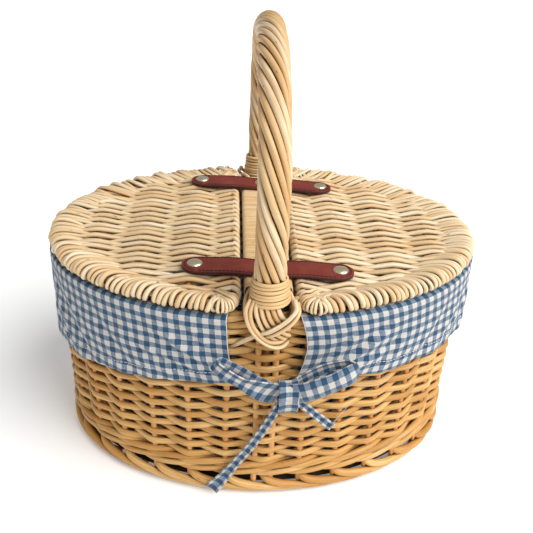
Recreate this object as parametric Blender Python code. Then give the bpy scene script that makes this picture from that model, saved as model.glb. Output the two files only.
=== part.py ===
"""Oval wicker picnic basket: two D-shaped lids hinged on leather straps, a fixed roped
handle and a cloth liner with valances and ties. Metres, +Z up, origin on the floor
below the middle. X runs across the two lids, and the handle stands in the YZ plane."""
import math

import bmesh
import bpy
import numpy as np
from mathutils import Matrix, Vector

# Wall: half width and half depth at the floor, and how far each grows per metre of height.
WALL_HALF = (0.1930, 0.1350)
WALL_FLARE = (0.026, 0.037)
WALL_THICK = 0.0080
WALE_PROUD = 0.0005
GAP = 0.0003
RING_STEPS = 56

# Heights of the rings that make up the wall.
FOOT_TOP = 0.0140
UPSETT_TOP = 0.0173
LOWER_WALE_TOP = 0.0400
WEAVE_TOP = 0.1700
UPPER_WALE_TOP = 0.1900
RIM_TOP = 0.2035
BORDER_DEPTH = 0.0160
FOOT_DEPTH = 0.0125

# Stakes stand just inside the weave, spaced evenly round the wall. The handle's feet take
# the first place, at the front, and the one opposite.
STAKE_PLACES = 30
STAKE_RADIUS = 0.0024
STAKE_OFFSET = -0.0108
STAKE_RING = (-0.0133, -0.0005)
STAKE_SUNK = 0.0015

# Base panel and the long sticks that it is woven on.
BASE_PANEL = (0.0090, 0.0160)
BASE_PANEL_OFFSET = -0.0140
BASE_STICK_RADIUS = 0.0020
BASE_STICK_HEIGHT = 0.0067
BASE_STICK_CLEARANCE = 0.0020
BASE_STICKS = {"front": -0.060, "middle": 0.0, "back": 0.060}

# Handle: its middle line rises straight from the rim, then bends over in half an ellipse.
# Its feet are pointed and go down between the liner and the weave.
HANDLE_FOOT = 0.0620
HANDLE_POINT = 0.0200
HANDLE_POINT_RADIUS = 0.0025
HANDLE_RIM = ((0.1297, 0.1918), (0.1310, 0.2035))
HANDLE_ABOVE_RIM = (0.1330, 0.2148)
HANDLE_HALF_SPAN = 0.1345
HANDLE_STRAIGHT_TOP = 0.2700
HANDLE_SPRING = 0.3000
HANDLE_TOP = 0.4130
ROPE_RADIUS = 0.0130
CORE_RADIUS = 0.0070
CORE_RIM_RADIUS = 0.0055
CORE_FOOT_RADIUS = 0.0040
CORE_FOOT_OFFSET = -0.0125
RIM_HOLE_RADIUS = 0.0061
RIM_HOLE = ((0.1285, 0.1800), (0.1318, 0.2120))
COLLAR = (0.2168, 0.2380)
COLLAR_RADIUS = 0.0168
COLLAR_BORE_RADIUS = 0.0080
COLLAR_SHIFT = 0.0006

# The lashing over the rim below each collar: half its angle round the wall, and its section.
LASHING_HALF_ANGLE = 0.125
LASHING_OFFSETS = (0.0010, 0.0065)
LASHING_HEIGHTS = (0.1830, 0.2030)

# Centre bar between the lids.
BAR_HALF = 0.0205
BAR_WRAP = (0.2018, 0.2185)
BAR_WRAP_HALF_LENGTH = 0.1165
BAR_CORE_HALF_LENGTH = 0.1430
BAR_WRAP_THICK = 0.0017
BAR_NOTCH_START = 0.1245
BAR_NOTCH_CLEARANCE = 0.0008

# Lids: middle line of the rolled border, woven panel, ribs and hinge stick.
LID_HALF = (0.1930, 0.1420)
LID_BORDER_RADIUS = 0.0080
LID_BORDER_HEIGHT = 0.2133
LID_EDGE = 0.0230
LID_CORNER = (0.0410, 0.1290)
LID_CORNER_RADII = (0.0100, 0.0098)
LID_PANEL = (0.2106, 0.2185)
LID_PANEL_CLEARANCE = 0.0014
LID_END_CLEARANCE = 0.0001
LID_STICK_RADIUS = 0.0038
LID_STICK_HEIGHT = 0.2140
LID_STICK_HALF_LENGTH = 0.1252
LID_RIBS = (0.067, 0.112, 0.157)
LID_RIB_RADIUS = 0.0024
LID_RIB_HEIGHT = 0.2079
LID_RIB_CLEARANCE = 0.0015

# Leather straps: the fold of each lid tab is the hinge line.
HINGE_X = 0.0218
HINGE_Z = 0.2188
STRAPS = {"front": (-0.090, math.radians(-4.5)), "back": (0.090, math.radians(-6.5))}
STRAP_HALF_WIDTH = 0.0135
STRAP_HALF_LENGTH = 0.0740
STRAP_THICK = 0.0030
STRAP_CENTRE_HALF = 0.0200
STRAP_TAB_START = 0.0282
# The tab's free end: (distance back from the end, share of the half width).
STRAP_POINT = ((0.0140, 1.0), (0.0080, 0.86), (0.0030, 0.52))
RIVET_X = 0.0625
RIVET_CAP_RADIUS = 0.0062
RIVET_CAP_HEIGHT = 0.0027
RIVET_CAP_RIM = 0.0008
RIVET_CAP_TURNS = (35.0, 62.0)
RIVET_SHANK_RADIUS = 0.0015
RIVET_BAR_BOTTOM = 0.2100
RIVET_LID_BOTTOM = 0.2112
RIVET_HOLE_RADIUS = 0.0019
RIVET_HOLE = (0.2050, 0.2300)

# Liner: a bag inside the wall, and two valances that fold over the rim and hang outside.
LINER_OFFSET = -0.0180
LINER_THICK = 0.0015
VALANCE_OPENING = (0.0330, 0.0180)
VALANCE_HEM = (0.1160, 0.0240)
VALANCE_INNER = (0.0024, 0.0036)
VALANCE_OUTER = (0.0036, 0.0050, 0.0056)
VALANCE_FOLD = 0.0030
VALANCE_FLAP_THICK = 0.0012
VALANCE_STEPS = 30

# Ties: (x, z, half height, half thickness) from one end to the other.
BOW = (
    (-0.043, 0.166, 0.0060, 0.0016), (-0.036, 0.164, 0.0100, 0.0034),
    (-0.015, 0.152, 0.0085, 0.0034), (0.002, 0.140, 0.0060, 0.0038),
    (0.010, 0.137, 0.0125, 0.0050), (0.018, 0.139, 0.0060, 0.0038),
    (0.040, 0.150, 0.0090, 0.0034), (0.063, 0.159, 0.0100, 0.0034),
    (0.072, 0.160, 0.0060, 0.0016),
)
LONG_TAIL = ((0.007, 0.1235), (-0.008, 0.098), (-0.026, 0.067), (-0.040, 0.043), (-0.048, 0.028))
SHORT_TAIL = ((0.016, 0.1235), (0.030, 0.117), (0.044, 0.107), (0.056, 0.098))
TIE_OFFSET = 0.0125
TAIL_OFFSET = 0.0105
TAIL_HALF_WIDTH = 0.0065
TAIL_HALF_THICK = 0.0014

# (colour, roughness, metallic)
PEELED_WILLOW = ((0.62, 0.38, 0.16), 0.55, 0.0)
PALE_WILLOW = ((0.76, 0.58, 0.33), 0.50, 0.0)
LEATHER = ((0.29, 0.08, 0.06), 0.45, 0.0)
BRASS = ((0.75, 0.62, 0.40), 0.30, 1.0)
GINGHAM = ((0.35, 0.45, 0.60), 0.85, 0.0)


def clear_scene():
    for old in list(bpy.data.objects):
        bpy.data.objects.remove(old, do_unlink=True)


def material(name, finish):
    colour, roughness, metallic = finish
    made = bpy.data.materials.new(name)
    made.use_nodes = True
    shader = made.node_tree.nodes["Principled BSDF"]
    shader.inputs["Base Color"].default_value = (*colour, 1.0)
    shader.inputs["Roughness"].default_value = roughness
    shader.inputs["Metallic"].default_value = metallic
    return made


def loft(name, sections, finish, wrap=False, hinge=None):
    """A closed body skinned over loops of points. It is capped at both ends, or joined
    end to start with wrap. A hinge puts its origin on that empty."""
    mesh = bpy.data.meshes.new(name)
    form = bmesh.new()
    rows = [[form.verts.new(point) for point in section] for section in sections]
    following = rows[1:] + rows[:1] if wrap else rows[1:]
    for row, after in zip(rows, following):
        for i in range(len(row)):
            j = (i + 1) % len(row)
            form.faces.new((row[i], row[j], after[j], after[i]))
    if not wrap:
        form.faces.new(rows[0][::-1])
        form.faces.new(rows[-1])
    bmesh.ops.recalc_face_normals(form, faces=form.faces)
    form.to_mesh(mesh)
    form.free()
    mesh.shade_smooth()
    mesh.set_sharp_from_angle(angle=math.radians(40))
    body = bpy.data.objects.new(name, mesh)
    bpy.context.collection.objects.link(body)
    mesh.materials.append(material(name, finish))
    if hinge is not None:
        mesh.transform(Matrix.Translation(-hinge.location))
        body.parent = hinge
    return body


def helper(body):
    body.hide_render = True
    body.display_type = "WIRE"
    return body


def boolean(body, other, operation):
    change = body.modifiers.new(other.name, "BOOLEAN")
    change.operation = operation
    change.object = other


def oval(z, offset):
    """Half width and half depth of the wall's outer face at this height, moved by offset."""
    return [half + flare * z + offset for half, flare in zip(WALL_HALF, WALL_FLARE)]


def on_oval(angle, z, offset):
    half_x, half_y = oval(z, offset)
    return (half_x * math.cos(angle), half_y * math.sin(angle), z)


def oval_loop(z, offset, steps=RING_STEPS):
    return [on_oval(math.tau * i / steps, z, offset) for i in range(steps)]


def oval_ring(name, profile, finish):
    """A ring round the basket whose section is a loop of (offset, height) points."""
    angles = [math.tau * i / RING_STEPS for i in range(RING_STEPS)]
    sections = [[on_oval(angle, z, offset) for offset, z in profile] for angle in angles]
    return loft(name, sections, finish, wrap=True)


def box_profile(inner, outer, low, high):
    return ((inner, low), (outer, low), (outer, high), (inner, high))


def round_section(centre, side, up, radius, sides=8):
    steps = [math.tau * (i + 0.5) / sides for i in range(sides)]
    return [centre + radius * (math.cos(t) * side + math.sin(t) * up) for t in steps]


def tube_sections(path, radii, normal, sides=8):
    """Round sections along a path that lies in the plane across normal."""
    sections = []
    for i, point in enumerate(path):
        along = (path[min(i + 1, len(path) - 1)] - path[max(i - 1, 0)]).normalized()
        sections.append(round_section(point, along.cross(normal), normal, radii[i], sides))
    return sections


def make_base():
    low, high = BASE_PANEL
    panel = [oval_loop(low, BASE_PANEL_OFFSET), oval_loop(high, BASE_PANEL_OFFSET)]
    loft("base_panel", panel, PEELED_WILLOW)
    half_x, half_y = oval(0.0, BASE_PANEL_OFFSET)
    for place, y in BASE_STICKS.items():
        reach = half_x * math.sqrt(1 - (y / half_y) ** 2) - BASE_STICK_CLEARANCE
        ends = [Vector((-reach, y, BASE_STICK_HEIGHT)), Vector((reach, y, BASE_STICK_HEIGHT))]
        sections = tube_sections(ends, [BASE_STICK_RADIUS] * 2, Vector((0, 0, 1)))
        loft(f"base_stick_{place}", sections, PEELED_WILLOW)


def make_walls():
    edge = 0.0022  # the chamfer of the foot border
    oval_ring("foot_border", (
        (-FOOT_DEPTH, 0.0), (-edge, 0.0), (0.0, edge), (0.0, FOOT_TOP - edge),
        (-edge, FOOT_TOP), (-FOOT_DEPTH, FOOT_TOP),
    ), PEELED_WILLOW)
    for name, outer, low, high in (
        ("lower_wale", WALE_PROUD, UPSETT_TOP + GAP, LOWER_WALE_TOP),
        ("wall_weave", 0.0, LOWER_WALE_TOP + GAP, WEAVE_TOP),
        ("upper_wale", 0.0, WEAVE_TOP + GAP, UPPER_WALE_TOP),
    ):
        oval_ring(name, box_profile(-WALL_THICK, outer, low, high), PEELED_WILLOW)


def make_rim(handle_hole):
    edge = 0.0035  # the chamfer of the rim border
    low, high = UPPER_WALE_TOP + GAP, RIM_TOP
    inner, outer = -BORDER_DEPTH, WALE_PROUD
    rim = oval_ring("rim_border", (
        (inner + edge, low), (outer - edge, low), (outer, low + edge), (outer, high - edge),
        (outer - edge, high), (inner + edge, high), (inner, high - edge), (inner, low + edge),
    ), PEELED_WILLOW)
    boolean(rim, handle_hole, "DIFFERENCE")


def wall_angle(share):
    """The oval's angle at this share of the way round the wall, from the front."""
    half_x, half_y = oval(WEAVE_TOP / 2, STAKE_OFFSET)
    angles = np.linspace(-math.pi / 2, 1.5 * math.pi, 721)
    steps = np.hypot(np.diff(half_x * np.cos(angles)), np.diff(half_y * np.sin(angles)))
    walked = np.concatenate([[0.0], np.cumsum(steps)])
    return float(np.interp(share * walked[-1], walked, angles))


def make_stakes():
    """The upright stakes and the ring in which their feet turn under the wall."""
    profile = box_profile(*STAKE_RING, FOOT_TOP + GAP, UPSETT_TOP)
    ring = oval_ring("wall_stakes", profile, PEELED_WILLOW)
    for i in range(STAKE_PLACES):
        if i % (STAKE_PLACES // 2) == 0:
            continue
        angle = wall_angle(i / STAKE_PLACES)
        low = Vector(on_oval(angle, UPSETT_TOP - STAKE_SUNK, STAKE_OFFSET))
        high = Vector(on_oval(angle, UPPER_WALE_TOP, STAKE_OFFSET))
        sections = [
            round_section(end, Vector((1, 0, 0)), Vector((0, 1, 0)), STAKE_RADIUS, 6)
            for end in (low, high)
        ]
        boolean(ring, helper(loft(f"stake_form_{i}", sections, PEELED_WILLOW)), "UNION")


def handle_route():
    """The handle's middle line from the front foot over to the back foot, with the radius
    of the core at each point."""
    rise = []
    for z, radius in ((HANDLE_FOOT, HANDLE_POINT_RADIUS),
                      (HANDLE_FOOT + HANDLE_POINT, CORE_FOOT_RADIUS),
                      (UPPER_WALE_TOP, CORE_FOOT_RADIUS)):
        rise.append((oval(z, CORE_FOOT_OFFSET)[1], z, radius))
    rise += [(y, z, CORE_RIM_RADIUS) for y, z in HANDLE_RIM]
    rise.append((*HANDLE_ABOVE_RIM, CORE_RADIUS))
    rise += [(HANDLE_HALF_SPAN, z, CORE_RADIUS) for z in (COLLAR[1], HANDLE_STRAIGHT_TOP)]
    height = HANDLE_TOP - ROPE_RADIUS - HANDLE_SPRING
    arch_steps = 22
    arch = []
    for i in range(arch_steps + 1):
        turn = math.pi * i / arch_steps
        y = HANDLE_HALF_SPAN * math.cos(turn)
        arch.append((y, HANDLE_SPRING + height * math.sin(turn), CORE_RADIUS))
    fall = [(-y, z, radius) for y, z, radius in reversed(rise)]
    route = rise + arch + fall
    return [Vector((0, -y, z)) for y, z, _ in route], [radius for _, _, radius in route]


def make_handle():
    route, radii = handle_route()
    across = Vector((1, 0, 0))
    loft("handle_core", tube_sections(route, radii, across, 10), PEELED_WILLOW)
    ends = [Vector((0, side * HANDLE_HALF_SPAN, COLLAR[1] + GAP)) for side in (-1, 1)]
    middle = [point for point in route if point.z >= HANDLE_STRAIGHT_TOP]
    bent = [ends[0], *middle, ends[1]]
    skin = tube_sections(bent, [ROPE_RADIUS] * len(bent), across, 10)
    bore = tube_sections(bent, [CORE_RADIUS + GAP] * len(bent), across, 10)
    loft("handle_rope", skin + bore[::-1], PALE_WILLOW, wrap=True)
    for place, side in (("front", -1), ("back", 1)):
        rings = []
        for radius, levels in ((COLLAR_RADIUS, COLLAR), (COLLAR_BORE_RADIUS, COLLAR[::-1])):
            for z in levels:
                centre = Vector((0, side * (HANDLE_HALF_SPAN - COLLAR_SHIFT), z))
                rings.append(round_section(centre, across, Vector((0, 1, 0)), radius, 16))
        loft(f"handle_collar_{place}", rings, PALE_WILLOW, wrap=True)
        make_lashing(place, side)


def make_lashing(place, side):
    """The rods that cross over the rim border below the handle."""
    steps = 8
    profile = box_profile(*LASHING_OFFSETS, *LASHING_HEIGHTS)
    sections = []
    for i in range(steps + 1):
        angle = side * math.pi / 2 + LASHING_HALF_ANGLE * (2 * i / steps - 1)
        sections.append([on_oval(angle, z, offset) for offset, z in profile])
    loft(f"handle_lashing_{place}", sections, PALE_WILLOW)


def handle_rim_hole():
    """The hole in the rim border where both feet of the handle go down."""
    forms = []
    for side in (-1, 1):
        ends = [Vector((0, side * y, z)) for y, z in RIM_HOLE]
        sections = tube_sections(ends, [RIM_HOLE_RADIUS] * 2, Vector((1, 0, 0)), 12)
        forms.append(helper(loft(f"handle_hole_{side}", sections, PEELED_WILLOW)))
    boolean(forms[0], forms[1], "UNION")
    return forms[0]


def bar_outline(half_width, half_length, notch_half, notch_start):
    quarter = (
        (half_width, half_length), (notch_half, half_length),
        (notch_half, notch_start), (-notch_half, notch_start),
        (-notch_half, half_length), (-half_width, half_length),
    )
    return quarter + tuple((-x, -y) for x, y in quarter)


def make_centre_bar(rivet_holes):
    core_half = BAR_HALF - BAR_WRAP_THICK - GAP
    low, high = BAR_WRAP[0] + BAR_WRAP_THICK + GAP, BAR_WRAP[1] - BAR_WRAP_THICK - GAP
    outline = bar_outline(core_half, BAR_CORE_HALF_LENGTH, CORE_RADIUS + BAR_NOTCH_CLEARANCE,
                          BAR_NOTCH_START)
    core = loft("centre_bar_core", [[(x, y, z) for x, y in outline] for z in (low, high)],
                PEELED_WILLOW)
    rings = []
    for half, bottom, top in (
        (BAR_HALF, *BAR_WRAP), (BAR_HALF - BAR_WRAP_THICK, BAR_WRAP[0] + BAR_WRAP_THICK,
                                BAR_WRAP[1] - BAR_WRAP_THICK),
    ):
        corners = ((-half, bottom), (half, bottom), (half, top), (-half, top))
        ends = (-BAR_WRAP_HALF_LENGTH, BAR_WRAP_HALF_LENGTH)
        pair = [[(x, y, z) for x, z in corners] for y in ends]
        rings += pair if half == BAR_HALF else pair[::-1]
    wrap = loft("centre_bar_wrap", rings, PALE_WILLOW, wrap=True)
    for body in (core, wrap):
        for hole in rivet_holes:
            boolean(body, hole, "DIFFERENCE")


def lid_border_route(side):
    """Middle line of the rolled border, from the front corner round to the back corner."""
    corner = []
    for turn in (0.0, 30.0, 60.0, 90.0):
        x = LID_CORNER[0] - LID_CORNER_RADII[0] * math.cos(math.radians(turn))
        y = LID_CORNER[1] + LID_CORNER_RADII[1] * math.sin(math.radians(turn))
        corner.append((x, -y))
    first = math.acos(LID_CORNER[0] / LID_HALF[0])
    steps = 22
    edge = []
    for i in range(1, steps):
        angle = -first + 2 * first * i / steps
        edge.append((LID_HALF[0] * math.cos(angle), LID_HALF[1] * math.sin(angle)))
    start = (corner[0][0], -LID_STICK_HALF_LENGTH - 2 * GAP)
    front = [start, *corner]
    route = front + edge + [(x, -y) for x, y in reversed(front)]
    return [Vector((side * x, y, LID_BORDER_HEIGHT)) for x, y in route]


def panel_half_depth(x):
    half_x, half_y = [half - LID_BORDER_RADIUS - LID_PANEL_CLEARANCE for half in LID_HALF]
    depth = half_y * math.sqrt(1 - (x / half_x) ** 2)
    past_corner = max(0.0, x - LID_CORNER[0] - LID_PANEL_CLEARANCE)
    return min(depth, LID_STICK_HALF_LENGTH - 3 * GAP + past_corner)


def make_lid(place, side, hinge, rivet_holes):
    route = lid_border_route(side)
    up = Vector((0, 0, 1))
    border = tube_sections(route, [LID_BORDER_RADIUS] * len(route), up)
    loft(f"lid_border_{place}", border, PALE_WILLOW, hinge=hinge)

    stick_x = side * (LID_EDGE + LID_STICK_RADIUS)
    ends = [Vector((stick_x, y, LID_STICK_HEIGHT))
            for y in (-LID_STICK_HALF_LENGTH, LID_STICK_HALF_LENGTH)]
    stick = tube_sections(ends, [LID_STICK_RADIUS] * 2, up)
    loft(f"lid_hinge_stick_{place}", stick, PALE_WILLOW, hinge=hinge)

    panel_start = LID_EDGE + 2 * LID_STICK_RADIUS + GAP
    panel_end = LID_HALF[0] - LID_BORDER_RADIUS - LID_PANEL_CLEARANCE - LID_END_CLEARANCE
    steps = 18
    xs = []
    for i in range(steps + 1):
        xs.append(panel_start + (panel_end - panel_start) * math.sin(math.pi / 2 * i / steps))
    outline = [(side * x, -panel_half_depth(x)) for x in xs]
    outline += [(side * x, panel_half_depth(x)) for x in reversed(xs[:-1])]
    panel = loft(f"lid_weave_{place}", [[(x, y, z) for x, y in outline] for z in LID_PANEL],
                 PALE_WILLOW, hinge=hinge)
    for hole in rivet_holes:
        boolean(panel, hole, "DIFFERENCE")

    for number, x in enumerate(LID_RIBS, start=1):
        reach = panel_half_depth(x) - LID_RIB_CLEARANCE
        ends = [Vector((side * x, y, LID_RIB_HEIGHT)) for y in (-reach, reach)]
        rib = tube_sections(ends, [LID_RIB_RADIUS] * 2, up, 6)
        loft(f"lid_rib_{place}_{number}", rib, PEELED_WILLOW, hinge=hinge)


def on_strap(place, x, y):
    """A point of a strap, which is fixed slightly askew, from its own length and width."""
    middle, skew = STRAPS[place]
    turned = Matrix.Rotation(skew, 2) @ Vector((x, y))
    return turned.x, turned.y + middle


def rivet_hole(place, x):
    centre_x, centre_y = on_strap(place, x, 0.0)
    ends = [Vector((centre_x, centre_y, z)) for z in RIVET_HOLE]
    sections = [
        round_section(end, Vector((1, 0, 0)), Vector((0, 1, 0)), RIVET_HOLE_RADIUS, 8)
        for end in ends
    ]
    name = f"rivet_hole_{place}_{round(x * 10000)}"
    return helper(loft(name, sections, BRASS))


def tab_outline(side):
    """A lid tab: square at the fold and round-pointed at its free end."""
    points = [(STRAP_TAB_START, -1.0)]
    points += [(STRAP_HALF_LENGTH - back, -share) for back, share in STRAP_POINT]
    points.append((STRAP_HALF_LENGTH, 0.0))
    points += [(x, -y) for x, y in reversed(points[:-1])]
    return [(side * x, y * STRAP_HALF_WIDTH) for x, y in points]


def make_strap_piece(name, place, outline, hole, hinge=None):
    faces = (HINGE_Z, HINGE_Z + STRAP_THICK)
    sections = [[(*on_strap(place, x, y), z) for x, y in outline] for z in faces]
    piece = loft(name, sections, LEATHER, hinge=hinge)
    boolean(piece, hole, "DIFFERENCE")


def make_rivet(name, place, x, bottom, hinge=None):
    """A domed cap on a shank that goes through the strap."""
    centre_x, centre_y = on_strap(place, x, 0.0)
    seat = HINGE_Z + STRAP_THICK + GAP
    outline = [(RIVET_SHANK_RADIUS, bottom), (RIVET_SHANK_RADIUS, seat),
               (RIVET_CAP_RADIUS, seat), (RIVET_CAP_RADIUS, seat + RIVET_CAP_RIM)]
    for turn in RIVET_CAP_TURNS:
        radius = RIVET_CAP_RADIUS * math.cos(math.radians(turn))
        rise = (RIVET_CAP_HEIGHT - RIVET_CAP_RIM) * math.sin(math.radians(turn))
        outline.append((radius, seat + RIVET_CAP_RIM + rise))
    sections = [
        round_section(Vector((centre_x, centre_y, z)), Vector((1, 0, 0)), Vector((0, 1, 0)),
                      radius, 12)
        for radius, z in outline
    ]
    loft(name, sections, BRASS, hinge=hinge)


def make_straps(hinges, holes):
    half = STRAP_CENTRE_HALF
    centre = [(-half, -STRAP_HALF_WIDTH), (half, -STRAP_HALF_WIDTH),
              (half, STRAP_HALF_WIDTH), (-half, STRAP_HALF_WIDTH)]
    for place in STRAPS:
        make_strap_piece(f"strap_{place}_centre", place, centre, holes[place, "centre"])
        make_rivet(f"rivet_{place}_centre", place, 0.0, RIVET_BAR_BOTTOM)
        for lid, side in (("left", -1), ("right", 1)):
            make_strap_piece(f"strap_{place}_{lid}", place, tab_outline(side),
                             holes[place, lid], hinges[lid])
            make_rivet(f"rivet_{place}_{lid}", place, side * RIVET_X, RIVET_LID_BOTTOM,
                       hinges[lid])


def make_liner_bag():
    low, high = BASE_PANEL[1] + GAP, RIM_TOP
    inner = LINER_OFFSET - LINER_THICK
    loft("liner_bag", [
        oval_loop(low, LINER_OFFSET), oval_loop(high, LINER_OFFSET),
        oval_loop(high, inner), oval_loop(low + LINER_THICK, inner),
    ], GINGHAM)


def make_valance(place, middle_angle):
    """One valance with the flap that folds over the rim. It hangs lowest at the side."""
    top, fold = RIM_TOP + GAP, RIM_TOP - VALANCE_FOLD
    inner_fold, inner_hem = VALANCE_INNER
    outer_top, outer_fold, outer_hem = VALANCE_OUTER
    sections = []
    for i in range(VALANCE_STEPS + 1):
        across = 2 * i / VALANCE_STEPS - 1
        hem = VALANCE_HEM[0] + VALANCE_HEM[1] * across ** 2
        flap_top = top + VALANCE_FLAP_THICK
        profile = ((-BORDER_DEPTH, top), (inner_fold, top), (inner_fold, fold), (inner_hem, hem),
                   (outer_hem, hem), (outer_fold, fold), (outer_top, flap_top),
                   (-BORDER_DEPTH, flap_top))
        section = []
        for offset, z in profile:
            fall = min(1.0, (top - min(z, top)) / (top - sum(VALANCE_HEM)))
            edge = VALANCE_OPENING[0] + fall * (VALANCE_OPENING[1] - VALANCE_OPENING[0])
            spread = math.pi / 2 - math.asin(edge / oval(z, offset)[0])
            section.append(on_oval(middle_angle + across * spread, z, offset))
        sections.append(section)
    loft(f"liner_valance_{place}", sections, GINGHAM)


def on_wall(x, z, offset):
    half_x, half_y = oval(z, offset)
    return -half_y * math.sqrt(1 - (x / half_x) ** 2)


def tie_sections(stations):
    """Flat oval sections (x, z, half height, half thickness) hung against the valance."""
    sections = []
    for x, z, tall, thick in stations:
        y = on_wall(x, z, TIE_OFFSET)
        sections.append([
            Vector((x, y + thick * math.sin(t), z + tall * math.cos(t)))
            for t in [math.tau * (i + 0.5) / 8 for i in range(8)]
        ])
    return sections


def tail_sections(route):
    """A flat tail that hangs from the knot along a route of (x, z) points."""
    points = [Vector((x, on_wall(x, z, TAIL_OFFSET), z)) for x, z in route]
    sections = []
    for i, point in enumerate(points):
        along = (points[min(i + 1, len(points) - 1)] - points[max(i - 1, 0)]).normalized()
        wide = along.cross(Vector((0, 1, 0))).normalized() * TAIL_HALF_WIDTH
        thick = Vector((0, TAIL_HALF_THICK, 0))
        sections.append([point - wide - thick, point + wide - thick,
                         point + wide + thick, point - wide + thick])
    return sections


def make_ties():
    for place, turn in (("front", 0.0), ("back", math.pi)):
        about = Matrix.Rotation(turn, 3, "Z")
        for name, sections in (
            ("bow", tie_sections(BOW)),
            ("tail_long", tail_sections(LONG_TAIL)),
            ("tail_short", tail_sections(SHORT_TAIL)),
        ):
            turned = [[about @ point for point in section] for section in sections]
            loft(f"tie_{name}_{place}", turned, GINGHAM)


def hinge_empty(place, side):
    empty = bpy.data.objects.new(f"lid_hinge_{place}", None)
    empty.location = (side * HINGE_X, 0.0, HINGE_Z)
    bpy.context.collection.objects.link(empty)
    return empty


clear_scene()
hinges = {"left": hinge_empty("left", -1), "right": hinge_empty("right", 1)}
holes = {}
for strap in STRAPS:
    for spot, rivet_x in (("left", -RIVET_X), ("centre", 0.0), ("right", RIVET_X)):
        holes[strap, spot] = rivet_hole(strap, rivet_x)

make_base()
make_walls()
make_rim(handle_rim_hole())
make_stakes()
make_handle()
make_centre_bar([holes[strap, "centre"] for strap in STRAPS])
for lid, side in (("left", -1), ("right", 1)):
    make_lid(lid, side, hinges[lid], [holes[strap, lid] for strap in STRAPS])
make_straps(hinges, holes)
make_liner_bag()
make_valance("left", math.pi)
make_valance("right", 0.0)
make_ties()
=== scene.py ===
"""Oval wicker picnic basket with two lids, a roped handle and a gingham liner.

Metres, +Z up, origin on the floor below the middle. X runs across the two lids."""

import math

import bpy
import numpy as np
from mathutils import Matrix, Vector


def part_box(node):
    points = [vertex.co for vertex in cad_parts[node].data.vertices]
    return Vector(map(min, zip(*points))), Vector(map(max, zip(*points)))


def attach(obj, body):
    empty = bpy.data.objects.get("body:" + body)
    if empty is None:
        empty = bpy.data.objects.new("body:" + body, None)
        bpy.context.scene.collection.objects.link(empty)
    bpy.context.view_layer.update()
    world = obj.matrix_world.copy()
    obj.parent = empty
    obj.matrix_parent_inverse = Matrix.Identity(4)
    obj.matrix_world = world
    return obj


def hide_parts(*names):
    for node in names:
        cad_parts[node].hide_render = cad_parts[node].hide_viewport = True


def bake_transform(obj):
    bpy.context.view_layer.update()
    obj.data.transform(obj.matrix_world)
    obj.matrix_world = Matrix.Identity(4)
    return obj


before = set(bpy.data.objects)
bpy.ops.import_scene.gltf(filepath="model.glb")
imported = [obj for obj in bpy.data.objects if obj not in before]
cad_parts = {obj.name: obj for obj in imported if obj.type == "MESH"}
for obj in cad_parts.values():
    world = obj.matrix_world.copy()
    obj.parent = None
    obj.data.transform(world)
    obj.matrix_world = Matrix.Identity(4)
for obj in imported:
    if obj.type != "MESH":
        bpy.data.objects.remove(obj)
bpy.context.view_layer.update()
rng = np.random.default_rng(11)


# Base: an oval mat of thin peeled willow, woven round sticks that spread from a middle
# slath. Only its underside and a little of its edge ever show.

def linear(code):
    """An sRGB hex colour as linear RGBA."""
    shares = [int(code[i:i + 2], 16) / 255 for i in (1, 3, 5)]
    return [c / 12.92 if c <= 0.04045 else ((c + 0.055) / 1.055) ** 2.4 for c in shares] + [1.0]


def add_node(tree, kind, settings=None, links=None):
    """Adds a node. A setting is one of its properties, an input's fixed value, or the
    stops of its colour ramp. A link comes from a socket, or from a node's usable output."""
    node = tree.nodes.new("ShaderNode" + kind)

    def socket(name):
        usable = [i for i in node.inputs if not i.is_unavailable]
        return usable[name] if isinstance(name, int) else next(i for i in usable if i.name == name)

    for name, value in (settings or {}).items():
        if name == "stops":
            ramp = node.color_ramp
            while len(ramp.elements) < len(value):
                ramp.elements.new(0.5)
            for stop, (place, colour) in zip(ramp.elements, value):
                stop.position, stop.color = place, linear(colour)
        elif isinstance(name, str) and hasattr(node, name):
            setattr(node, name, value)
        else:
            socket(name).default_value = value
    for name, source in (links or {}).items():
        if isinstance(source, bpy.types.Node):
            source = next(o for o in source.outputs if not o.is_unavailable)
        tree.links.new(source, socket(name))
    return node


def new_material(name):
    made = bpy.data.materials.new(name)
    made.use_nodes = True
    made.node_tree.nodes.clear()
    return made, made.node_tree


def ranged(tree, value, low=0.0, high=1.0, to_low=0.0, to_high=1.0):
    """The value with low to high stretched over to_low to to_high, and held at the ends."""
    return add_node(tree, "MapRange", {"From Min": low, "From Max": high, "To Min": to_low,
                                       "To Max": to_high}, {"Value": value})


def tinted(tree, share, under, tint):
    """A share of the tint over a colour, which is a hex code or a node."""
    fixed, links = {"data_type": "RGBA", "B": linear(tint)}, {"Factor": share}
    if isinstance(under, str):
        fixed["A"] = linear(under)
    else:
        links["A"] = under
    return add_node(tree, "Mix", fixed, links)


def noise_on(tree, where, scale, detail):
    """Noise over these points. Three scales stretch it along a line."""
    if isinstance(scale, tuple):
        where, scale = add_node(tree, "Mapping", {"Scale": scale}, {"Vector": where}), 1.0
    return add_node(tree, "TexNoise", {"Scale": scale, "Detail": detail}, {"Vector": where})


def finish(tree, settings, links):
    """The shader that the material's other nodes lead to."""
    shader = add_node(tree, "BsdfPrincipled", settings, links)
    add_node(tree, "OutputMaterial", {}, {"Surface": shader})


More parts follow.
